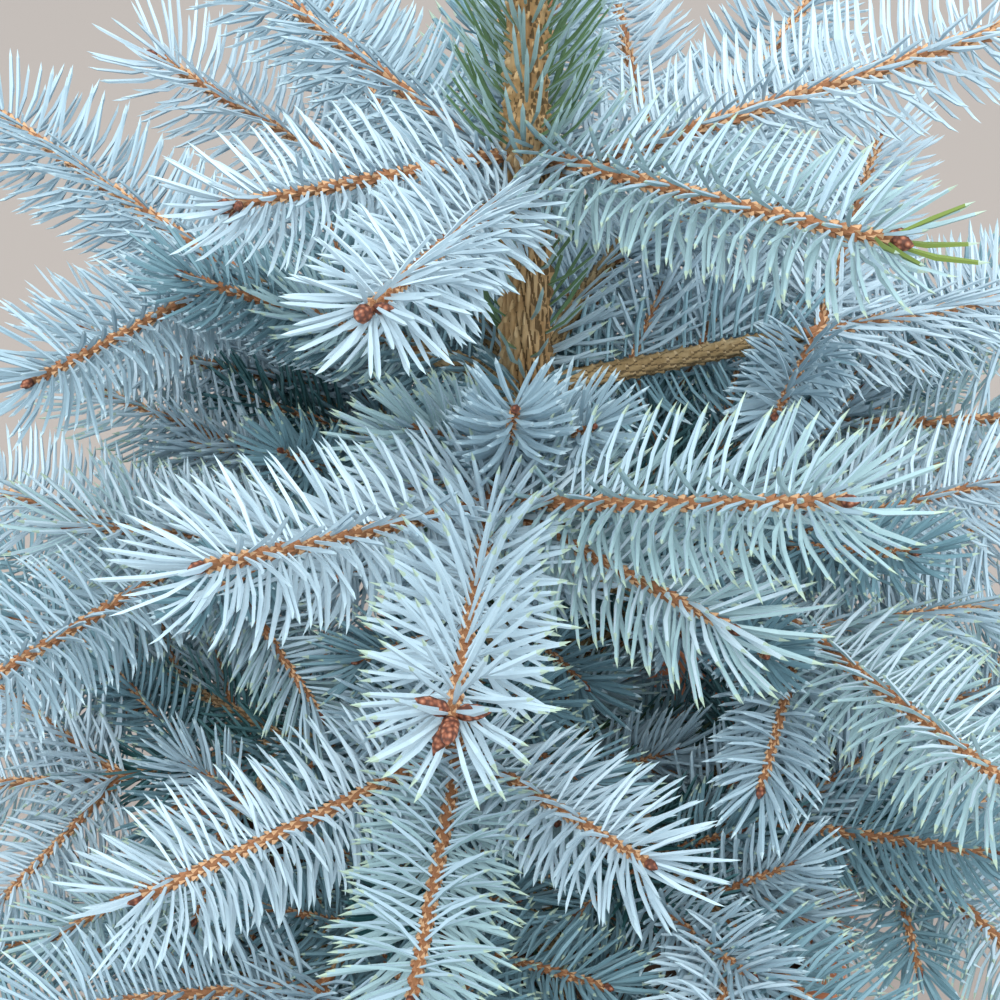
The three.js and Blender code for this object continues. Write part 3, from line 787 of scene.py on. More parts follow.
# Twigs
# Shoots of one and two years are orange-brown and rough with pegs, each of which carries one
# needle. Finer twigs than the limbs' own forks grow between them wherever there is room.
TWIG_ROOM = 11
SMALL_TWIG_ROOM = 10.5
PARENT_ROOM = 6
CROSSING = 9
FIRST_FREE = 5
TWIG_BEND = 0.15
TWIG_LIFT = 5
TWIG_PLACES = ((16, 0.52), (10, 0.42), (6, 0.36), (13, 0.3), (8, 0.3), (4, 0.3))
TWIG_TURN = (50, 14)
TWIG_RISE = (8, 20)
TWIG_SWAY = 0.28
SMALL_TWIG_PLACES = (14, 11, 8, 5, 2)
SMALL_TWIG_TURN = (64, 26)
SMALL_TWIG_RISE = (16, 32)
SMALL_TWIG_LENGTH = (30, 11)
GIVEN_TWIGS = (("upper_1", 0, 12, {"azimuth": 6, "rise": 54, "length": 46, "lift": 6}),
               ("bottom_3", 2, 8, {"azimuth": 20, "rise": 3, "length": 66, "lift": 3}))
TRUNK_STRETCHES = ((40, 96, "bottom", 5), (104, 154, "lower", 5), (162, 217, "middle", 5),
                   (225, 284, "upper", 4), (289, 303, "top", 1))
TWIG_SIDES = 8
TWIG_RADIUS = 0.5
TWIG_RADIUS_PER_LENGTH = 0.0098
TWIG_RADIUS_PER_YEAR = 0.8
TWIG_TAPER = (1.14, 0.86)
DOME_PLACES = (1.004, 1.009)
DOME_WIDTHS = (0.8, 0.4)
DOME_TIP = 0.3
NEEDLES_PER_MM = 2.6
UPRIGHT_SHARE = 1.1
BARE_FOOT = 3
PEG_SWAY = 0.3
PEG_TURN_SWAY = 9
BUSHY = "upper_1"
AGE_SHARE = {1: 1.0, 2: 0.85, 3: 0.42, 4: 0.2, 5: 0.14}
PEG_LENGTH = 2.3
PEG_HEIGHT = 0.85
PEG_WIDTH = 1.35
PEG_SIZE = (0.45, 0.4)
PEG_SIZES = (0.7, 1.15)
PEG_BACK = 0.75
PEG_FRONT = 0.1
PEG_CREST = 0.3
PEG_SUNK = (0.1, 0.35, 0.9)
UPRIGHT_PEG = 0.6
BROWN_PEG_SHARE = 0.3
NEEDLE_SUNK = 0.2
# The twig is darker than its pegs and the pegs are paler: partly the bark's own two tones, partly painted
# shade between the pegs and painted highlight on them.
TWIG_COLOURS = {1: (0.22, 0.1, 0.045, 1), 2: (0.16, 0.1, 0.05, 1)}
PEG_COLOURS = {1: (0.52, 0.32, 0.18, 1), 2: (0.38, 0.26, 0.145, 1), 3: (0.3, 0.14, 0.07, 1)}


def grow_twig(parent, place, turn, rise, length, room=TWIG_ROOM):
    """A small side shoot at a point of its parent, left out where it would be too near to others.

    Its first points are free to be near, and so are the shoots that cross by its foot.
    """
    start = parent["points"][place]
    spec = {"start": start, "azimuth": parent["azimuth"] + turn, "rise": rise, "length": length,
            "bend": -TWIG_BEND * turn, "lift": TWIG_LIFT}
    outer = trail(spec)[FIRST_FREE:, None]
    others = np.concatenate([shoot["points"] for shoot in crown if shoot is not parent])
    others = others[np.linalg.norm(others - start, axis=1) > CROSSING]
    if np.linalg.norm(outer - others[None], axis=-1).min() < room:
        return
    if np.linalg.norm(outer - parent["points"][None], axis=-1).min() < PARENT_ROOM:
        return
    grow(parent["bough"], parent["order"] + 1, 1, spec, kind="twig")


# Twigs leave both sides of the older shoots at some of their points, each a share of the bough's last
# year long. Small ones then fill the room that is left. Turns, rises and lengths are given with their
# sway, and two twigs are given in full, with the bough, the year and the point that they leave from.
older = [shoot for shoot in crown if shoot["age"] > 1]
for parent in older:
    last = parent["bough"]["line"][-1]["length"]
    seed = parent["seed"]
    for place, share in TWIG_PLACES:
        for side in (-1, 1):
            if place == TRAIL_STEPS and parent["order"] == 0:
                continue
            grow_twig(parent, place, side * (TWIG_TURN[0] + TWIG_TURN[1] * sway(seed, place + side)),
                      parent["rise"] + TWIG_RISE[0] + TWIG_RISE[1] * sway(seed, 3 * place + side),
                      last * share * (1 + TWIG_SWAY * sway(seed, 5 * place + side)))
for parent in older:
    for place in SMALL_TWIG_PLACES:
        seed = parent["seed"] + 0.01 * place
        for side in (-1, 1):
            turn = side * (SMALL_TWIG_TURN[0] + SMALL_TWIG_TURN[1] * sway(seed, 2 + side))
            rise = SMALL_TWIG_RISE[0] + SMALL_TWIG_RISE[1] * sway(seed, 4 + side)
            length = SMALL_TWIG_LENGTH[0] + SMALL_TWIG_LENGTH[1] * sway(seed, 6 + side)
            grow_twig(parent, place, turn, rise, length, SMALL_TWIG_ROOM)
for name, year, place, spec in GIVEN_TWIGS:
    bough = next(bough for bough in boughs if bough["name"] == name)
    grow(bough, 1, 1, {**spec, "start": bough["line"][year]["points"][place]})

# Each stretch of the trunk still bears some needles, and the newest stretch is thick with them.
for foot, head, level, age in TRUNK_STRETCHES:
    stretch = {"start": trunk_axis(foot), "azimuth": 0, "rise": 90, "length": head - foot}
    grow({"seed": foot, "level": level, "name": "trunk", "line": [None]}, 0, age, stretch, kind="trunk")
    crown[-1]["points"] = trunk_axis(np.linspace(foot, head, TRAIL_STEPS + 1))

# One upper limb shows its bark. It has lost the small twigs that rose before it, up to a reach and
# a width in mm, and most needles of its front and top.
BARE_LIMB = "upper_2"
BARE_SIDE = unit(np.array([0, -1.0, 1.0]))
BARE_REACH = (3, 45)
BARE_WIDTH = 12
BARE_FACING = 0.3
bare_line = next(bough for bough in boughs if bough["name"] == BARE_LIMB)["line"][0]["points"]


def rises_before_limb(shoot):
    """Whether the outer part of a small twig lies in the strip from the bare limb to its bare side."""
    apart = shoot["points"][FIRST_FREE:, None] - bare_line[None]
    forward = apart @ BARE_SIDE
    beside = np.linalg.norm(apart - forward[..., None] * BARE_SIDE, axis=-1)
    return ((forward > BARE_REACH[0]) & (forward < BARE_REACH[1]) & (beside < BARE_WIDTH)).any()


crown = [shoot for shoot in crown if shoot["kind"] != "twig" or not rises_before_limb(shoot)]

points, lengths, ages, seeds, kinds, is_limb = (
    np.array([shoot[key] for shoot in crown])
    for key in ("points", "length", "age", "seed", "kind", "is_limb"))
levels, boughs_of_crown = (np.array([shoot["bough"][key] for shoot in crown]) for key in ("level", "name"))
is_leader, is_trunk = kinds == "leader", kinds == "trunk"
is_upright = is_leader | is_trunk
node_of_shoot = np.where(is_trunk, "trunk", np.char.add("foliage_", boughs_of_crown))
is_bushy = (boughs_of_crown == BUSHY) & np.array([shoot is shoot["bough"]["line"][-1] for shoot in crown])
twig_width = TWIG_RADIUS + np.maximum(TWIG_RADIUS_PER_LENGTH * lengths, TWIG_RADIUS_PER_YEAR * (ages - 1))
twig_foot_radius, twig_tip_radius = (
    np.where(is_leader, LEADER_RADIUS[end], TWIG_TAPER[end] * twig_width) for end in (0, 1))
sized_peg = np.clip(PEG_SIZE[0] + PEG_SIZE[1] * twig_width, *PEG_SIZES)
peg_size = np.where(is_upright, UPRIGHT_PEG, sized_peg)


def along(which, distance):
    """Centre, tangent, side and up of shoots at distances from their feet, by linear steps."""
    place = np.clip(distance / lengths[which], 0, 1) * TRAIL_STEPS
    low = np.minimum(place.astype(int), TRAIL_STEPS - 1)
    share = (place - low)[..., None]
    a, b = points[which, low], points[which, low + 1]
    tangent = unit(b - a)
    side, up = across(tangent)
    beyond = np.maximum(distance - lengths[which], 0)[..., None]
    return a + (b - a) * share + beyond * tangent, tangent, side, up


def twig_radius(which, distance):
    """The stem's radius under the needles, tapering evenly from foot to tip."""
    share = np.clip(distance / lengths[which], 0, 1)
    limb = SHOOT_RADIUS + RADIUS_PER_YEAR * (ages[which] - 1 - share) - NEEDLE_SUNK
    twig = twig_foot_radius[which] + (twig_tip_radius[which] - twig_foot_radius[which]) * share
    height = points[which, 0, 2] + distance - SOIL_TOP
    return np.where(is_trunk[which], trunk_radius(height), np.where(is_limb[which], limb, twig))


def twig_tubes(which):
    """Plain tapering tubes round the shoots' centre lines, domed at the tip."""
    rings = np.concatenate([np.linspace(0, 1, TRAIL_STEPS), DOME_PLACES])
    shrink = np.concatenate([np.ones(TRAIL_STEPS), DOME_WIDTHS])
    distance = lengths[which][:, None] * rings
    index = np.repeat(which[:, None], len(rings), axis=1)
    centre, tangent, side, up = along(index, distance)
    radius = twig_radius(index, distance) * shrink
    angle = 2 * math.pi * np.arange(TWIG_SIDES) / TWIG_SIDES
    grid = rings_round(centre, side, up, radius[..., None], angle)
    start = centre[:, :1]
    end = centre[:, -1:] + DOME_TIP * tangent[:, -1:]
    return np.concatenate([grid.reshape(len(which), -1, 3), start, end], axis=1).reshape(-1, 3), len(rings)


# Every peg and needle has its shoot, its distance along it and its angle round it, in golden-angle
# order, and a draw that says whether its needle is still there.
peg_shoot, peg_distance, peg_angle, peg_draw = [], [], [], []
for index, shoot in enumerate(crown):
    count = int(shoot["length"] * NEEDLES_PER_MM * (UPRIGHT_SHARE if is_upright[index] else 1))
    distance = (np.arange(count) + 0.5) / count * (shoot["length"] - BARE_FOOT) + BARE_FOOT
    angle = (np.arange(count) * GOLDEN_ANGLE + 360 * sway(shoot["seed"], 5)) % 360
    peg_shoot.append(np.full(count, index))
    peg_distance.append(distance + draw.uniform(-PEG_SWAY, PEG_SWAY, count))
    peg_angle.append(angle + draw.uniform(-PEG_TURN_SWAY, PEG_TURN_SWAY, count))
    peg_draw.append(draw.uniform(0, 1, count))
peg_shoot, peg_distance = np.concatenate(peg_shoot), np.concatenate(peg_distance)
peg_angle, peg_draw = np.radians(np.concatenate(peg_angle)), np.concatenate(peg_draw)


def radial(side, up, angle):
    """The direction out from the shoot at an angle that turns from its side to its top."""
    return np.cos(angle)[:, None] * side + np.sin(angle)[:, None] * up


def pegs(which):
    """Wedges along the shoot: a ridge rises from a point behind to a blunt front, half sunk in."""
    centre, tangent, side, up = along(peg_shoot[which], peg_distance[which])
    out = radial(side, up, peg_angle[which])
    beside = np.cross(tangent, out)
    radius = twig_radius(peg_shoot[which], peg_distance[which])[:, None]
    size = peg_size[peg_shoot[which]][:, None]
    behind = centre + out * (radius - PEG_SUNK[0]) - tangent * PEG_LENGTH * size * PEG_BACK
    front = centre + out * (radius - PEG_SUNK[1]) + tangent * PEG_LENGTH * PEG_FRONT
    left = front + beside * PEG_WIDTH * size / 2
    right = front - beside * PEG_WIDTH * size / 2
    top = centre + out * (radius + PEG_HEIGHT * size) + tangent * PEG_LENGTH * PEG_CREST
    sunk = centre + out * (radius - PEG_SUNK[2])
    return np.stack([behind, left, right, top, sunk], axis=1).reshape(-1, 3)


PEG_FACES = np.array([[0, 3, 1], [0, 2, 3], [1, 3, 2], [0, 1, 4], [1, 2, 4], [2, 0, 4]])
# Twig and peg colours carry painted shade between the pegs and painted highlight on them.
twig_materials = [
    plain("new twig", TWIG_COLOURS[1], 0.75), plain("older twig", TWIG_COLOURS[2], 0.8),
    plain("new peg", PEG_COLOURS[1], 0.7), plain("older peg", PEG_COLOURS[2], 0.8),
    plain("brown peg", PEG_COLOURS[3], 0.7),
]
for group, names in (("upper", ("top", "upper")), ("middle", ("middle",)), ("lower", ("lower", "bottom"))):
    is_here = np.isin(levels, names) & ~is_limb & ~is_upright
    stems = np.flatnonzero(is_here)
    tube_points, rings = twig_tubes(stems)
    corners, totals = tube_faces(len(stems), rings, TWIG_SIDES)
    faces_each = len(totals) // len(stems)
    stem_slots = np.repeat(np.where(ages[stems] > 1, 1, 0), faces_each)
    which = np.flatnonzero(is_here[peg_shoot])
    peg_points = pegs(which)
    peg_starts = len(tube_points) + 5 * np.arange(len(which))
    peg_corners = (PEG_FACES[None] + peg_starts[:, None, None]).reshape(-1)
    is_brown = peg_draw[which] * 7 % 1 < BROWN_PEG_SHARE
    peg_slots = np.repeat(np.where(ages[peg_shoot[which]] > 1, 3, np.where(is_brown, 4, 2)), len(PEG_FACES))
    twigs = new_piece(f"twigs_{group}", np.concatenate([tube_points, peg_points]),
                      np.concatenate([corners, peg_corners]),
                      np.concatenate([totals, np.full(len(peg_corners) // 3, 3)]),
                      twig_materials, np.concatenate([stem_slots, peg_slots]), smooth=False)
    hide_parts(*sorted(set(node_of_shoot[stems])))


# Needles
# Stiff four-sided needles, powder blue with a waxy bloom, sharp and often green at the tip. They
# leave each peg at a wide angle, most part to either side of the twig's top, and curve forwards.
NEEDLE = 20
NEEDLE_SWAY = 0.06
OLD_NEEDLE = 0.9
TOP_NEEDLE = 0.88
SHORT_NEEDLE = 0.82
UPRIGHT_NEEDLE = 1.12
NEEDLE_WIDTH = 1.36
NEEDLE_THICKNESS = 1.12
NARROW_NEEDLE = 0.85
WIDTH_RANGE = (0.88, 1.1)
NEEDLE_ROLL = 0.25
NEEDLE_FOOT = (0.8, 0.28)
RING_PLACES = np.array([0, 0.42, 0.87])
RING_WIDTHS = np.array([0.55, 1.0, 0.7])
PARTING = (52, 154)
PARTING_SWAY = 0.08
BUSHY_PARTING = 0.25
SHORT_PARTING = (0.5, 1.1)
SHORT_TWIG = 45
SHORT_SHOOT = 55
VIGOROUS_SHOOT = 88
NEEDLE_ANGLES = (70, 48)
ANGLE_SWAY = (5, 4.5)
VIGOUR_ANGLE = 18
UPRIGHT_ANGLES = (46, 26)
NEARLY_UPRIGHT = 0.9
CLOSED = (0.4, 0.42)
OPENED = (0.6, 0.58)
PEG_SHARE = 0.9
NEEDLE_LIFT = 0.42
BUSHY_LIFT = 0.55
TIP_ZONE = 13
TRUNK_CLEARANCE = 1
SOIL_CLEARANCE = 3
NEEDLE_LIMIT = 6500
GREEN_TIPPED = "top_1"
GREEN_REACH = 5
GREEN_NEEDLES = 0.45
NEEDLE_COLOURS = {
    "powder blue": (0.42, 0.545, 0.625, 1), "pale blue": (0.315, 0.44, 0.52, 1),
    "grey blue": (0.18, 0.31, 0.37, 1), "blue green": (0.07, 0.17, 0.19, 1),
    "dark blue green": (0.02, 0.08, 0.085, 1), "under powder blue": (0.34, 0.46, 0.535, 1),
    "under pale blue": (0.245, 0.36, 0.43, 1), "under grey blue": (0.125, 0.235, 0.285, 1),
    "under green": (0.25, 0.38, 0.415, 1), "dark green": (0.03, 0.075, 0.035, 1),
    "leader blue": (0.25, 0.37, 0.37, 1), "leader green": (0.085, 0.165, 0.08, 1),
    "yellow green": (0.13, 0.19, 0.04, 1), "pale tip": (0.37, 0.5, 0.565, 1),
    "green tip": (0.32, 0.43, 0.35, 1),
}
COLOUR_INDEX = {name: index for index, name in enumerate(NEEDLE_COLOURS)}
# Colours of the needles' lower faces: darker copies of the body colours, painted shade.
PAINTED_SHADE_COLOURS = ["under powder blue", "under pale blue", "under grey blue", "dark blue green",
                 "dark green"]
BODY_STEPS = [-0.35, 0.35, 1.1, 2.0]
HUE_SWAY = 0.75
# Older wood lies deep in the crown. Its higher hue is partly the real loss of bloom and partly painted
# shade.
HUE_PER_YEAR = 0.8
HUE_OF_TWIGS = 0.55
# Painted light on the top level and painted shade lower down.
PAINTED_LIGHT_AND_SHADE_OF_LEVELS = {"top": -0.45, "upper": -0.1, "middle": 0, "lower": 0.3, "bottom": 0.3}
# Painted light on the strong shoots in front.
PAINTED_LIGHT_IN_FRONT = -0.4
GREEN_FROM = 0.35


def needle_fields(which):
    """Foot, outward direction at the foot, first and last direction, and length of each needle.

    A needle's angle from the top is spread over the parting's two limits. It starts wide of the twig
    and ends nearer to its direction, with a lift, and both angles close up towards the shoot's tip.
    They open with vigour, which goes from 0 on a short shoot to 1 on a vigorous one.
    """
    shoot = peg_shoot[which]
    distance = peg_distance[which]
    shoot_length = lengths[shoot]
    is_stem = is_upright[shoot]
    centre, tangent, side, up = along(shoot, distance)
    upright = is_stem | (np.abs(tangent[:, 2]) > NEARLY_UPRIGHT)
    from_top = (peg_angle[which] - math.pi / 2 + math.pi) % (2 * math.pi) - math.pi
    low, high = np.radians(PARTING)
    is_short = shoot_length < SHORT_TWIG
    low = np.where(is_bushy[shoot], BUSHY_PARTING * low, np.where(is_short, SHORT_PARTING[0] * low, low))
    high = np.where(is_short, SHORT_PARTING[1] * high, high)
    parted = np.sign(from_top) * (low + np.abs(from_top) / math.pi * (high - low))
    towards = np.where(upright, peg_angle[which], parted + math.pi / 2)
    out = radial(side, up, towards + draw.normal(0, PARTING_SWAY, len(which)))
    foot_out = radial(side, up, peg_angle[which])
    size = peg_size[shoot][:, None]
    radius = twig_radius(shoot, distance)[:, None]
    raised = radius + PEG_HEIGHT * NEEDLE_FOOT[0] * size
    foot = centre + foot_out * raised + tangent * PEG_LENGTH * NEEDLE_FOOT[1]
    near_tip = np.clip((shoot_length - distance) / TIP_ZONE, 0, 1)
    vary = draw.normal(0, 1, (3, len(which)))
    vigour = np.clip((shoot_length - SHORT_SHOOT) / (VIGOROUS_SHOOT - SHORT_SHOOT), 0, 1)
    wide, ahead = (np.where(is_stem, UPRIGHT_ANGLES[end], NEEDLE_ANGLES[end] + VIGOUR_ANGLE * vigour)
                   for end in (0, 1))
    opened = CLOSED[0] + OPENED[0] * np.where(is_trunk[shoot], 1, near_tip)
    wide = (wide + ANGLE_SWAY[0] * vary[0]) * opened
    ahead = ahead * (CLOSED[1] + OPENED[1] * near_tip) + ANGLE_SWAY[1] * vary[1]
    wide, ahead = np.radians(wide)[:, None], np.radians(ahead)[:, None]
    first = np.cos(wide) * tangent + np.sin(wide) * unit(out + PEG_SHARE * foot_out)
    lift = np.where(upright, 0.0, np.where(is_bushy[shoot], BUSHY_LIFT, NEEDLE_LIFT))
    last = unit(np.cos(ahead) * tangent + np.sin(ahead) * out + lift[:, None] * np.array([0, 0, 1.0]))
    share = np.where(ages[shoot] == 1, 1.0, OLD_NEEDLE)
    share = share * np.where((levels[shoot] == "top") & ~upright, TOP_NEEDLE, 1.0)
    length = NEEDLE * share * (1 + NEEDLE_SWAY * vary[2]) * np.where(is_stem, UPRIGHT_NEEDLE, 1.0)
    length = length * np.where((shoot_length < SHORT_SHOOT) & ~is_stem, SHORT_NEEDLE, 1.0)
    return foot, foot_out, first, last, length


def needle_mesh(which):
    """Points of the needles: a quadratic curve from foot to tip, with a lozenge section.

    The curve is foot + length (first (t - t^2 / 2) + last t^2 / 2).
    """
    foot, foot_out, first, last, length = needle_fields(which)
    t = np.concatenate([RING_PLACES, [1.0]])[None, :, None]
    curve = first[:, None] * (t - t**2 / 2) + last[:, None] * t**2 / 2
    path = foot[:, None] + length[:, None, None] * curve
    direction = unit(first[:, None] * (1 - t[:, :-1]) + last[:, None] * t[:, :-1])
    roll = draw.normal(0, NEEDLE_ROLL, len(which))[:, None, None]
    flat = unit(np.cross(direction, foot_out[:, None]) + 1e-6)
    thick = np.cross(flat, direction)
    wide_axis = np.cos(roll) * flat + np.sin(roll) * thick
    thick_axis = np.cos(roll) * thick - np.sin(roll) * flat
    scale = RING_WIDTHS[None, :, None] * draw.uniform(*WIDTH_RANGE, len(which))[:, None, None]
    scale = scale * np.where(is_leader[peg_shoot[which]], NARROW_NEEDLE, 1.0)[:, None, None]
    wide_axis = wide_axis * scale * NEEDLE_WIDTH / 2
    thick_axis = thick_axis * scale * NEEDLE_THICKNESS / 2
    centre = path[:, :-1]
    rings = np.stack([centre + wide_axis, centre + thick_axis,
                      centre - wide_axis, centre - thick_axis], axis=2)
    return np.concatenate([rings.reshape(len(which), -1, 3), path[:, -1:]], axis=1), path[:, [1, 3]]


def needle_faces(count):
    """Quads between the three rings, a fan to the tip and a square over the foot, for each needle."""
    ring, k = np.meshgrid(np.arange(2), np.arange(4), indexing="ij")
    here, beside = ring * 4 + k, ring * 4 + (k + 1) % 4
    quads = np.stack([here, beside, beside + 4, here + 4], axis=-1)
    fan = np.stack([8 + np.arange(4), 8 + (np.arange(4) + 1) % 4, np.full(4, 12)], axis=-1)
    corners = np.concatenate([quads.reshape(-1), fan.reshape(-1), [3, 2, 1, 0]])
    totals = np.array([4] * 8 + [3] * 4 + [4])
    return (corners[None] + 13 * np.arange(count)[:, None]).reshape(-1), np.tile(totals, count)


# Older wood has lost most of its needles. Those that would run into the trunk or the soil are left
# out, and so are most on the bare side of the bare limb.
share_left = np.array([AGE_SHARE[age] for age in range(1, 6)])[ages[peg_shoot] - 1]
kept = np.flatnonzero(peg_draw < share_left)
needle_points, needle_tests = needle_mesh(kept)
test_z = needle_tests[..., 2]
height = np.clip(test_z - SOIL_TOP, 0, TRUNK_HEIGHT)
from_trunk = np.linalg.norm(needle_tests - trunk_axis(height), axis=-1)
is_clear = (from_trunk > trunk_radius(height) + TRUNK_CLEARANCE) | (test_z > SOIL_TOP + TRUNK_HEIGHT)
is_clear = (is_clear | is_trunk[peg_shoot[kept], None]).all(axis=1)
is_clear = is_clear & (test_z.min(axis=1) > SOIL_TOP + SOIL_CLEARANCE)
from_stem = unit(needle_points[:, -1] - along(peg_shoot[kept], peg_distance[kept])[0])
is_bare = (is_limb & (boughs_of_crown == BARE_LIMB))[peg_shoot[kept]]
is_clear = is_clear & ~(is_bare & (from_stem @ BARE_SIDE > BARE_FACING))
kept, needle_points = kept[is_clear], needle_points[is_clear]

# A shoot's hue counts up from powder blue to dark blue green. It is higher on older wood, partly for
# the real loss of bloom and partly as painted shade deep in the crown, and higher on twigs. It is
# lower at the top and higher lower down, painted light and painted shade, and lower on the strong
# shoots in front and lowest on the bushy shoot, painted light. A needle's upper and lower faces and
# its tip each take a colour from it. The lower faces take a darker copy, painted shade, with a green
# tint on some green-tipped shoots and on the upright stems.
shoot_of_needle = peg_shoot[kept]
hue_sway, green_sway = (np.array([sway(seed, k) for seed in seeds]) for k in (90, 91))
hue = HUE_SWAY * hue_sway + HUE_PER_YEAR * (ages - 1)
hue = hue + HUE_OF_TWIGS * (kinds == "twig") + np.array([PAINTED_LIGHT_AND_SHADE_OF_LEVELS[level] for level in levels])
is_painted_light_in_front = np.array(["shoots" in shoot["bough"] for shoot in crown]) & (ages == 1)
# The bushy shoot takes the lightest hue and the shoots in front a lower one: painted light.
hue = np.where(is_bushy, -1, hue + PAINTED_LIGHT_IN_FRONT * is_painted_light_in_front)
body_of_shoot = np.where(is_upright, COLOUR_INDEX["leader blue"], np.digitize(hue, BODY_STEPS))
is_green = (green_sway > GREEN_FROM) & ~is_bushy
# Lower faces take a darker copy of the body colour, painted shade, with a green tint on green shoots and on
# the upright stems.
painted_shade_of_shoot = np.array([COLOUR_INDEX[name] for name in PAINTED_SHADE_COLOURS])[np.minimum(body_of_shoot, 4)]
painted_shade_of_shoot = np.where(is_green & (body_of_shoot < 2), COLOUR_INDEX["under green"], painted_shade_of_shoot)
painted_shade_of_shoot = np.where(is_upright, COLOUR_INDEX["leader green"], painted_shade_of_shoot)
tip_of_shoot = np.where(is_green | is_bushy, COLOUR_INDEX["green tip"], COLOUR_INDEX["pale tip"])
tip_of_shoot = np.where(is_upright | (body_of_shoot > 2), body_of_shoot, tip_of_shoot)
by_bud = lengths[shoot_of_needle] - peg_distance[kept] < GREEN_REACH
by_bud = by_bud & (boughs_of_crown[shoot_of_needle] == GREEN_TIPPED) & (peg_draw[kept] < GREEN_NEEDLES)
body = np.where(by_bud, COLOUR_INDEX["yellow green"], body_of_shoot[shoot_of_needle])
under = np.where(by_bud, COLOUR_INDEX["yellow green"], painted_shade_of_shoot[shoot_of_needle])
tip = tip_of_shoot[shoot_of_needle]
face_slots = np.stack([body, body, under, under] * 2 + [tip] * 4 + [under], axis=1)

needle_materials = [plain(name, colour, 0.5) for name, colour in NEEDLE_COLOURS.items()]
for level in ("top", "upper", "middle", "lower", "bottom"):
    here = np.flatnonzero(levels[shoot_of_needle] == level)
    parts = int(math.ceil(len(here) / NEEDLE_LIMIT))
    for part, chosen in enumerate(np.array_split(here, parts), 1):
        needles = new_piece(f"needles_{level}_{part}", needle_points[chosen].reshape(-1, 3),
                            *needle_faces(len(chosen)), needle_materials, face_slots[chosen].reshape(-1),
                            smooth=False)
        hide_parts(*sorted(set(node_of_shoot[shoot_of_needle[chosen]])))


# Buds
# Every young shoot ends in an ovoid bud of red-brown papery scales. Strong tips carry up to three
# more around it, which spread outwards.
BUD_SIDES = 16
BUD_RINGS = 12
BUD_COLOUR = (0.21, 0.07, 0.038, 1)
BUD_PALE = (0.38, 0.18, 0.11, 1)
BUD_DARK = (0.08, 0.028, 0.018, 1)
BUD_RISE = 0.5
BUD_SPIRALS = (5, 8)
BUD_ENDS = (0.03, 0.97)
BUD_BULGE = (0.75, 0.7)
BUD_RELIEF = (0.84, 0.12, 0.2)
BUD_SPAN = 10
BUD_POINT = 1.02
BUD_SINK = 0.8
WEAK_SHOOT = 30
STRONG_SHOOT = 80
STRONG = 0.6
BUD_LENGTH = (2.8, 1.6, 0.7)
BUD_RADIUS = (0.85, 0.6, 0.4)
BUSHY_BUD = (8.0, 1.7)
SIDE_BUD = (5.5, 1.2)
SIDE_BUD_TURNS = (15, 130, 250)
SIDE_BUD_SWAY = 25
SIDE_BUD_FROM = 0.5
SIDE_BUD_SET = (1.8, 0.6)
SIDE_BUD_LEAN = 0.35


def bud_shapes(foot, direction, length, radius):
    """Ovoids: radius sin(pi s^p)^q at share s of the length, with a relief for ridges and knobs.

    The powers p and q are the bulge, and the span is the length that the spirals of scales count.
    """
    s = np.linspace(*BUD_ENDS, BUD_RINGS)
    angle = 360 * np.arange(BUD_SIDES) / BUD_SIDES
    ridge, knob = cushions(angle[None], s[:, None] * BUD_SPAN, BUD_RISE, BUD_SPIRALS)
    relief = BUD_RELIEF[0] + BUD_RELIEF[1] * ridge + BUD_RELIEF[2] * knob
    profile = np.sin(math.pi * s ** BUD_BULGE[0])[:, None] ** BUD_BULGE[1] * relief
    side, up = across(direction[:, None])
    centre = foot[:, None] + direction[:, None] * (s[None, :, None] * length[:, None, None])
    grid = rings_round(centre, side, up, profile * radius[:, None, None], np.radians(angle))
    ends = np.stack([foot, foot + direction * length[:, None] * BUD_POINT], axis=1)
    return np.concatenate([grid.reshape(len(foot), -1, 3), ends], axis=1).reshape(-1, 3)


# The scales are cells, pale and raised in the middle and brown at their edges.
bud_pattern = ("Voronoi", {"Scale": 900})
bud_scales = patterned("bud scales", [(0.1, BUD_PALE), (0.38, BUD_COLOUR), (0.62, BUD_DARK)],
                       bud_pattern, bud_pattern, bump=(-0.7, 0.0005), roughness=0.6, specular=0.3)

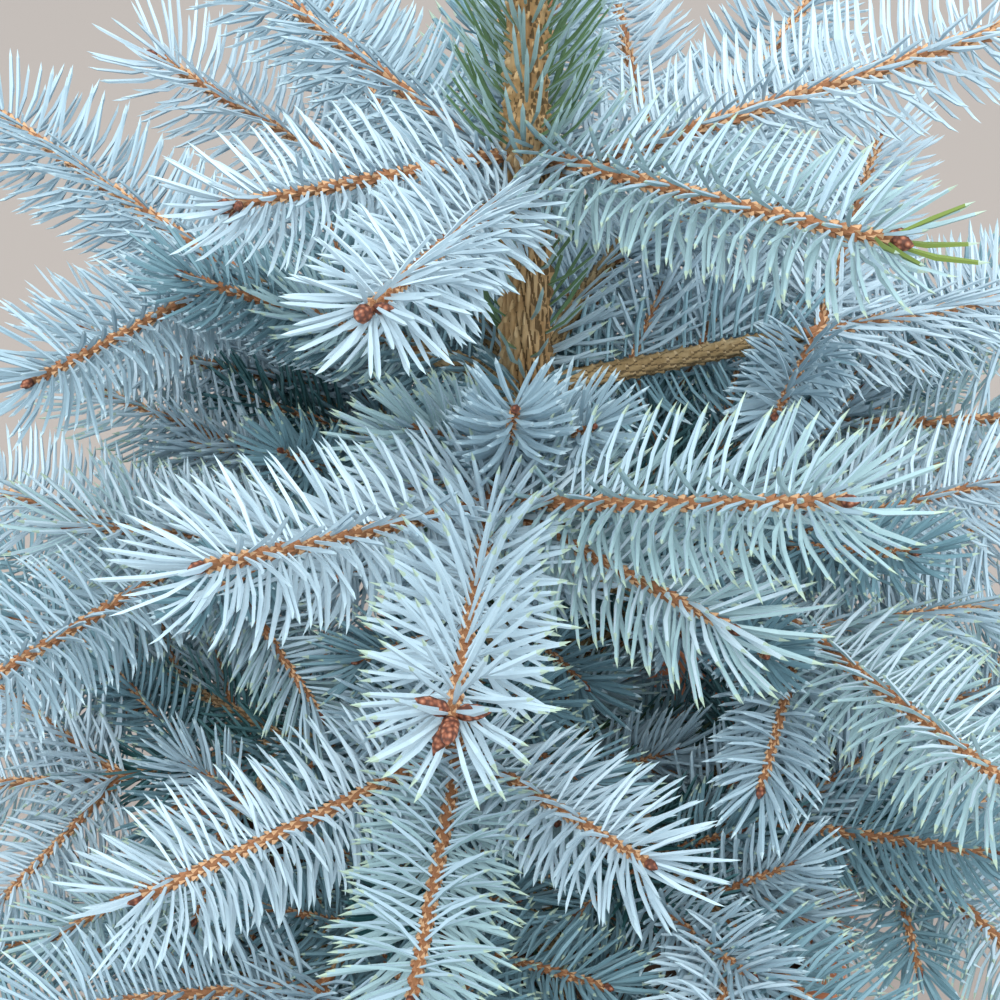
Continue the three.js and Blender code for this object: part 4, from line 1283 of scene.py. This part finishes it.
# A bud's length and radius have a least value, a gain with the shoot's strength and one on the biggest.
# Buds of the bushy shoot and side buds have a length and a radius. Side buds are set back and out.
young = np.flatnonzero((ages == 1) & ~is_trunk)
tip_centre, tip_tangent, tip_side, tip_up = along(young, lengths[young])
strength = np.clip((lengths[young] - WEAK_SHOOT) / (STRONG_SHOOT - WEAK_SHOOT), 0, 1)
is_many_budded = is_bushy[young]
is_big = is_many_budded | ((strength > STRONG) & (levels[young] == "top"))
bud_foot, bud_direction = [tip_centre - tip_tangent * BUD_SINK], [tip_tangent]
tip_length = BUD_LENGTH[0] + BUD_LENGTH[1] * strength + BUD_LENGTH[2] * is_big
bud_length = [np.where(is_many_budded, BUSHY_BUD[0], tip_length)]
bud_radius = [BUD_RADIUS[0] + BUD_RADIUS[1] * strength + BUD_RADIUS[2] * is_big]
strong = np.flatnonzero((strength > STRONG) & np.array([crown[k]["order"] == 0 for k in young]))
for turn in SIDE_BUD_TURNS:
    is_budded = [sway(seeds[k], 7 * turn) > SIDE_BUD_FROM or is_bushy[k] for k in young[strong]]
    chosen = strong[np.array(is_budded)]
    angle = np.radians(turn + SIDE_BUD_SWAY * np.array([sway(seeds[k], turn) for k in young[chosen]]))
    out = radial(tip_side[chosen], tip_up[chosen], angle)
    bud_foot.append(tip_centre[chosen] - tip_tangent[chosen] * SIDE_BUD_SET[0] + out * SIDE_BUD_SET[1])
    bud_direction.append(unit(out + SIDE_BUD_LEAN * tip_tangent[chosen]))
    bud_length.append(np.where(is_many_budded[chosen], BUSHY_BUD[0], SIDE_BUD[0]))
    bud_radius.append(np.where(is_many_budded[chosen], BUSHY_BUD[1], SIDE_BUD[1]))
bud_points = bud_shapes(np.concatenate(bud_foot), np.concatenate(bud_direction),
                        np.concatenate(bud_length), np.concatenate(bud_radius))
bud_count = sum(len(foot) for foot in bud_foot)
buds = new_piece("buds", bud_points, *tube_faces(bud_count, BUD_RINGS, BUD_SIDES), [bud_scales])
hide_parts(*sorted(set(node_of_shoot[young])))
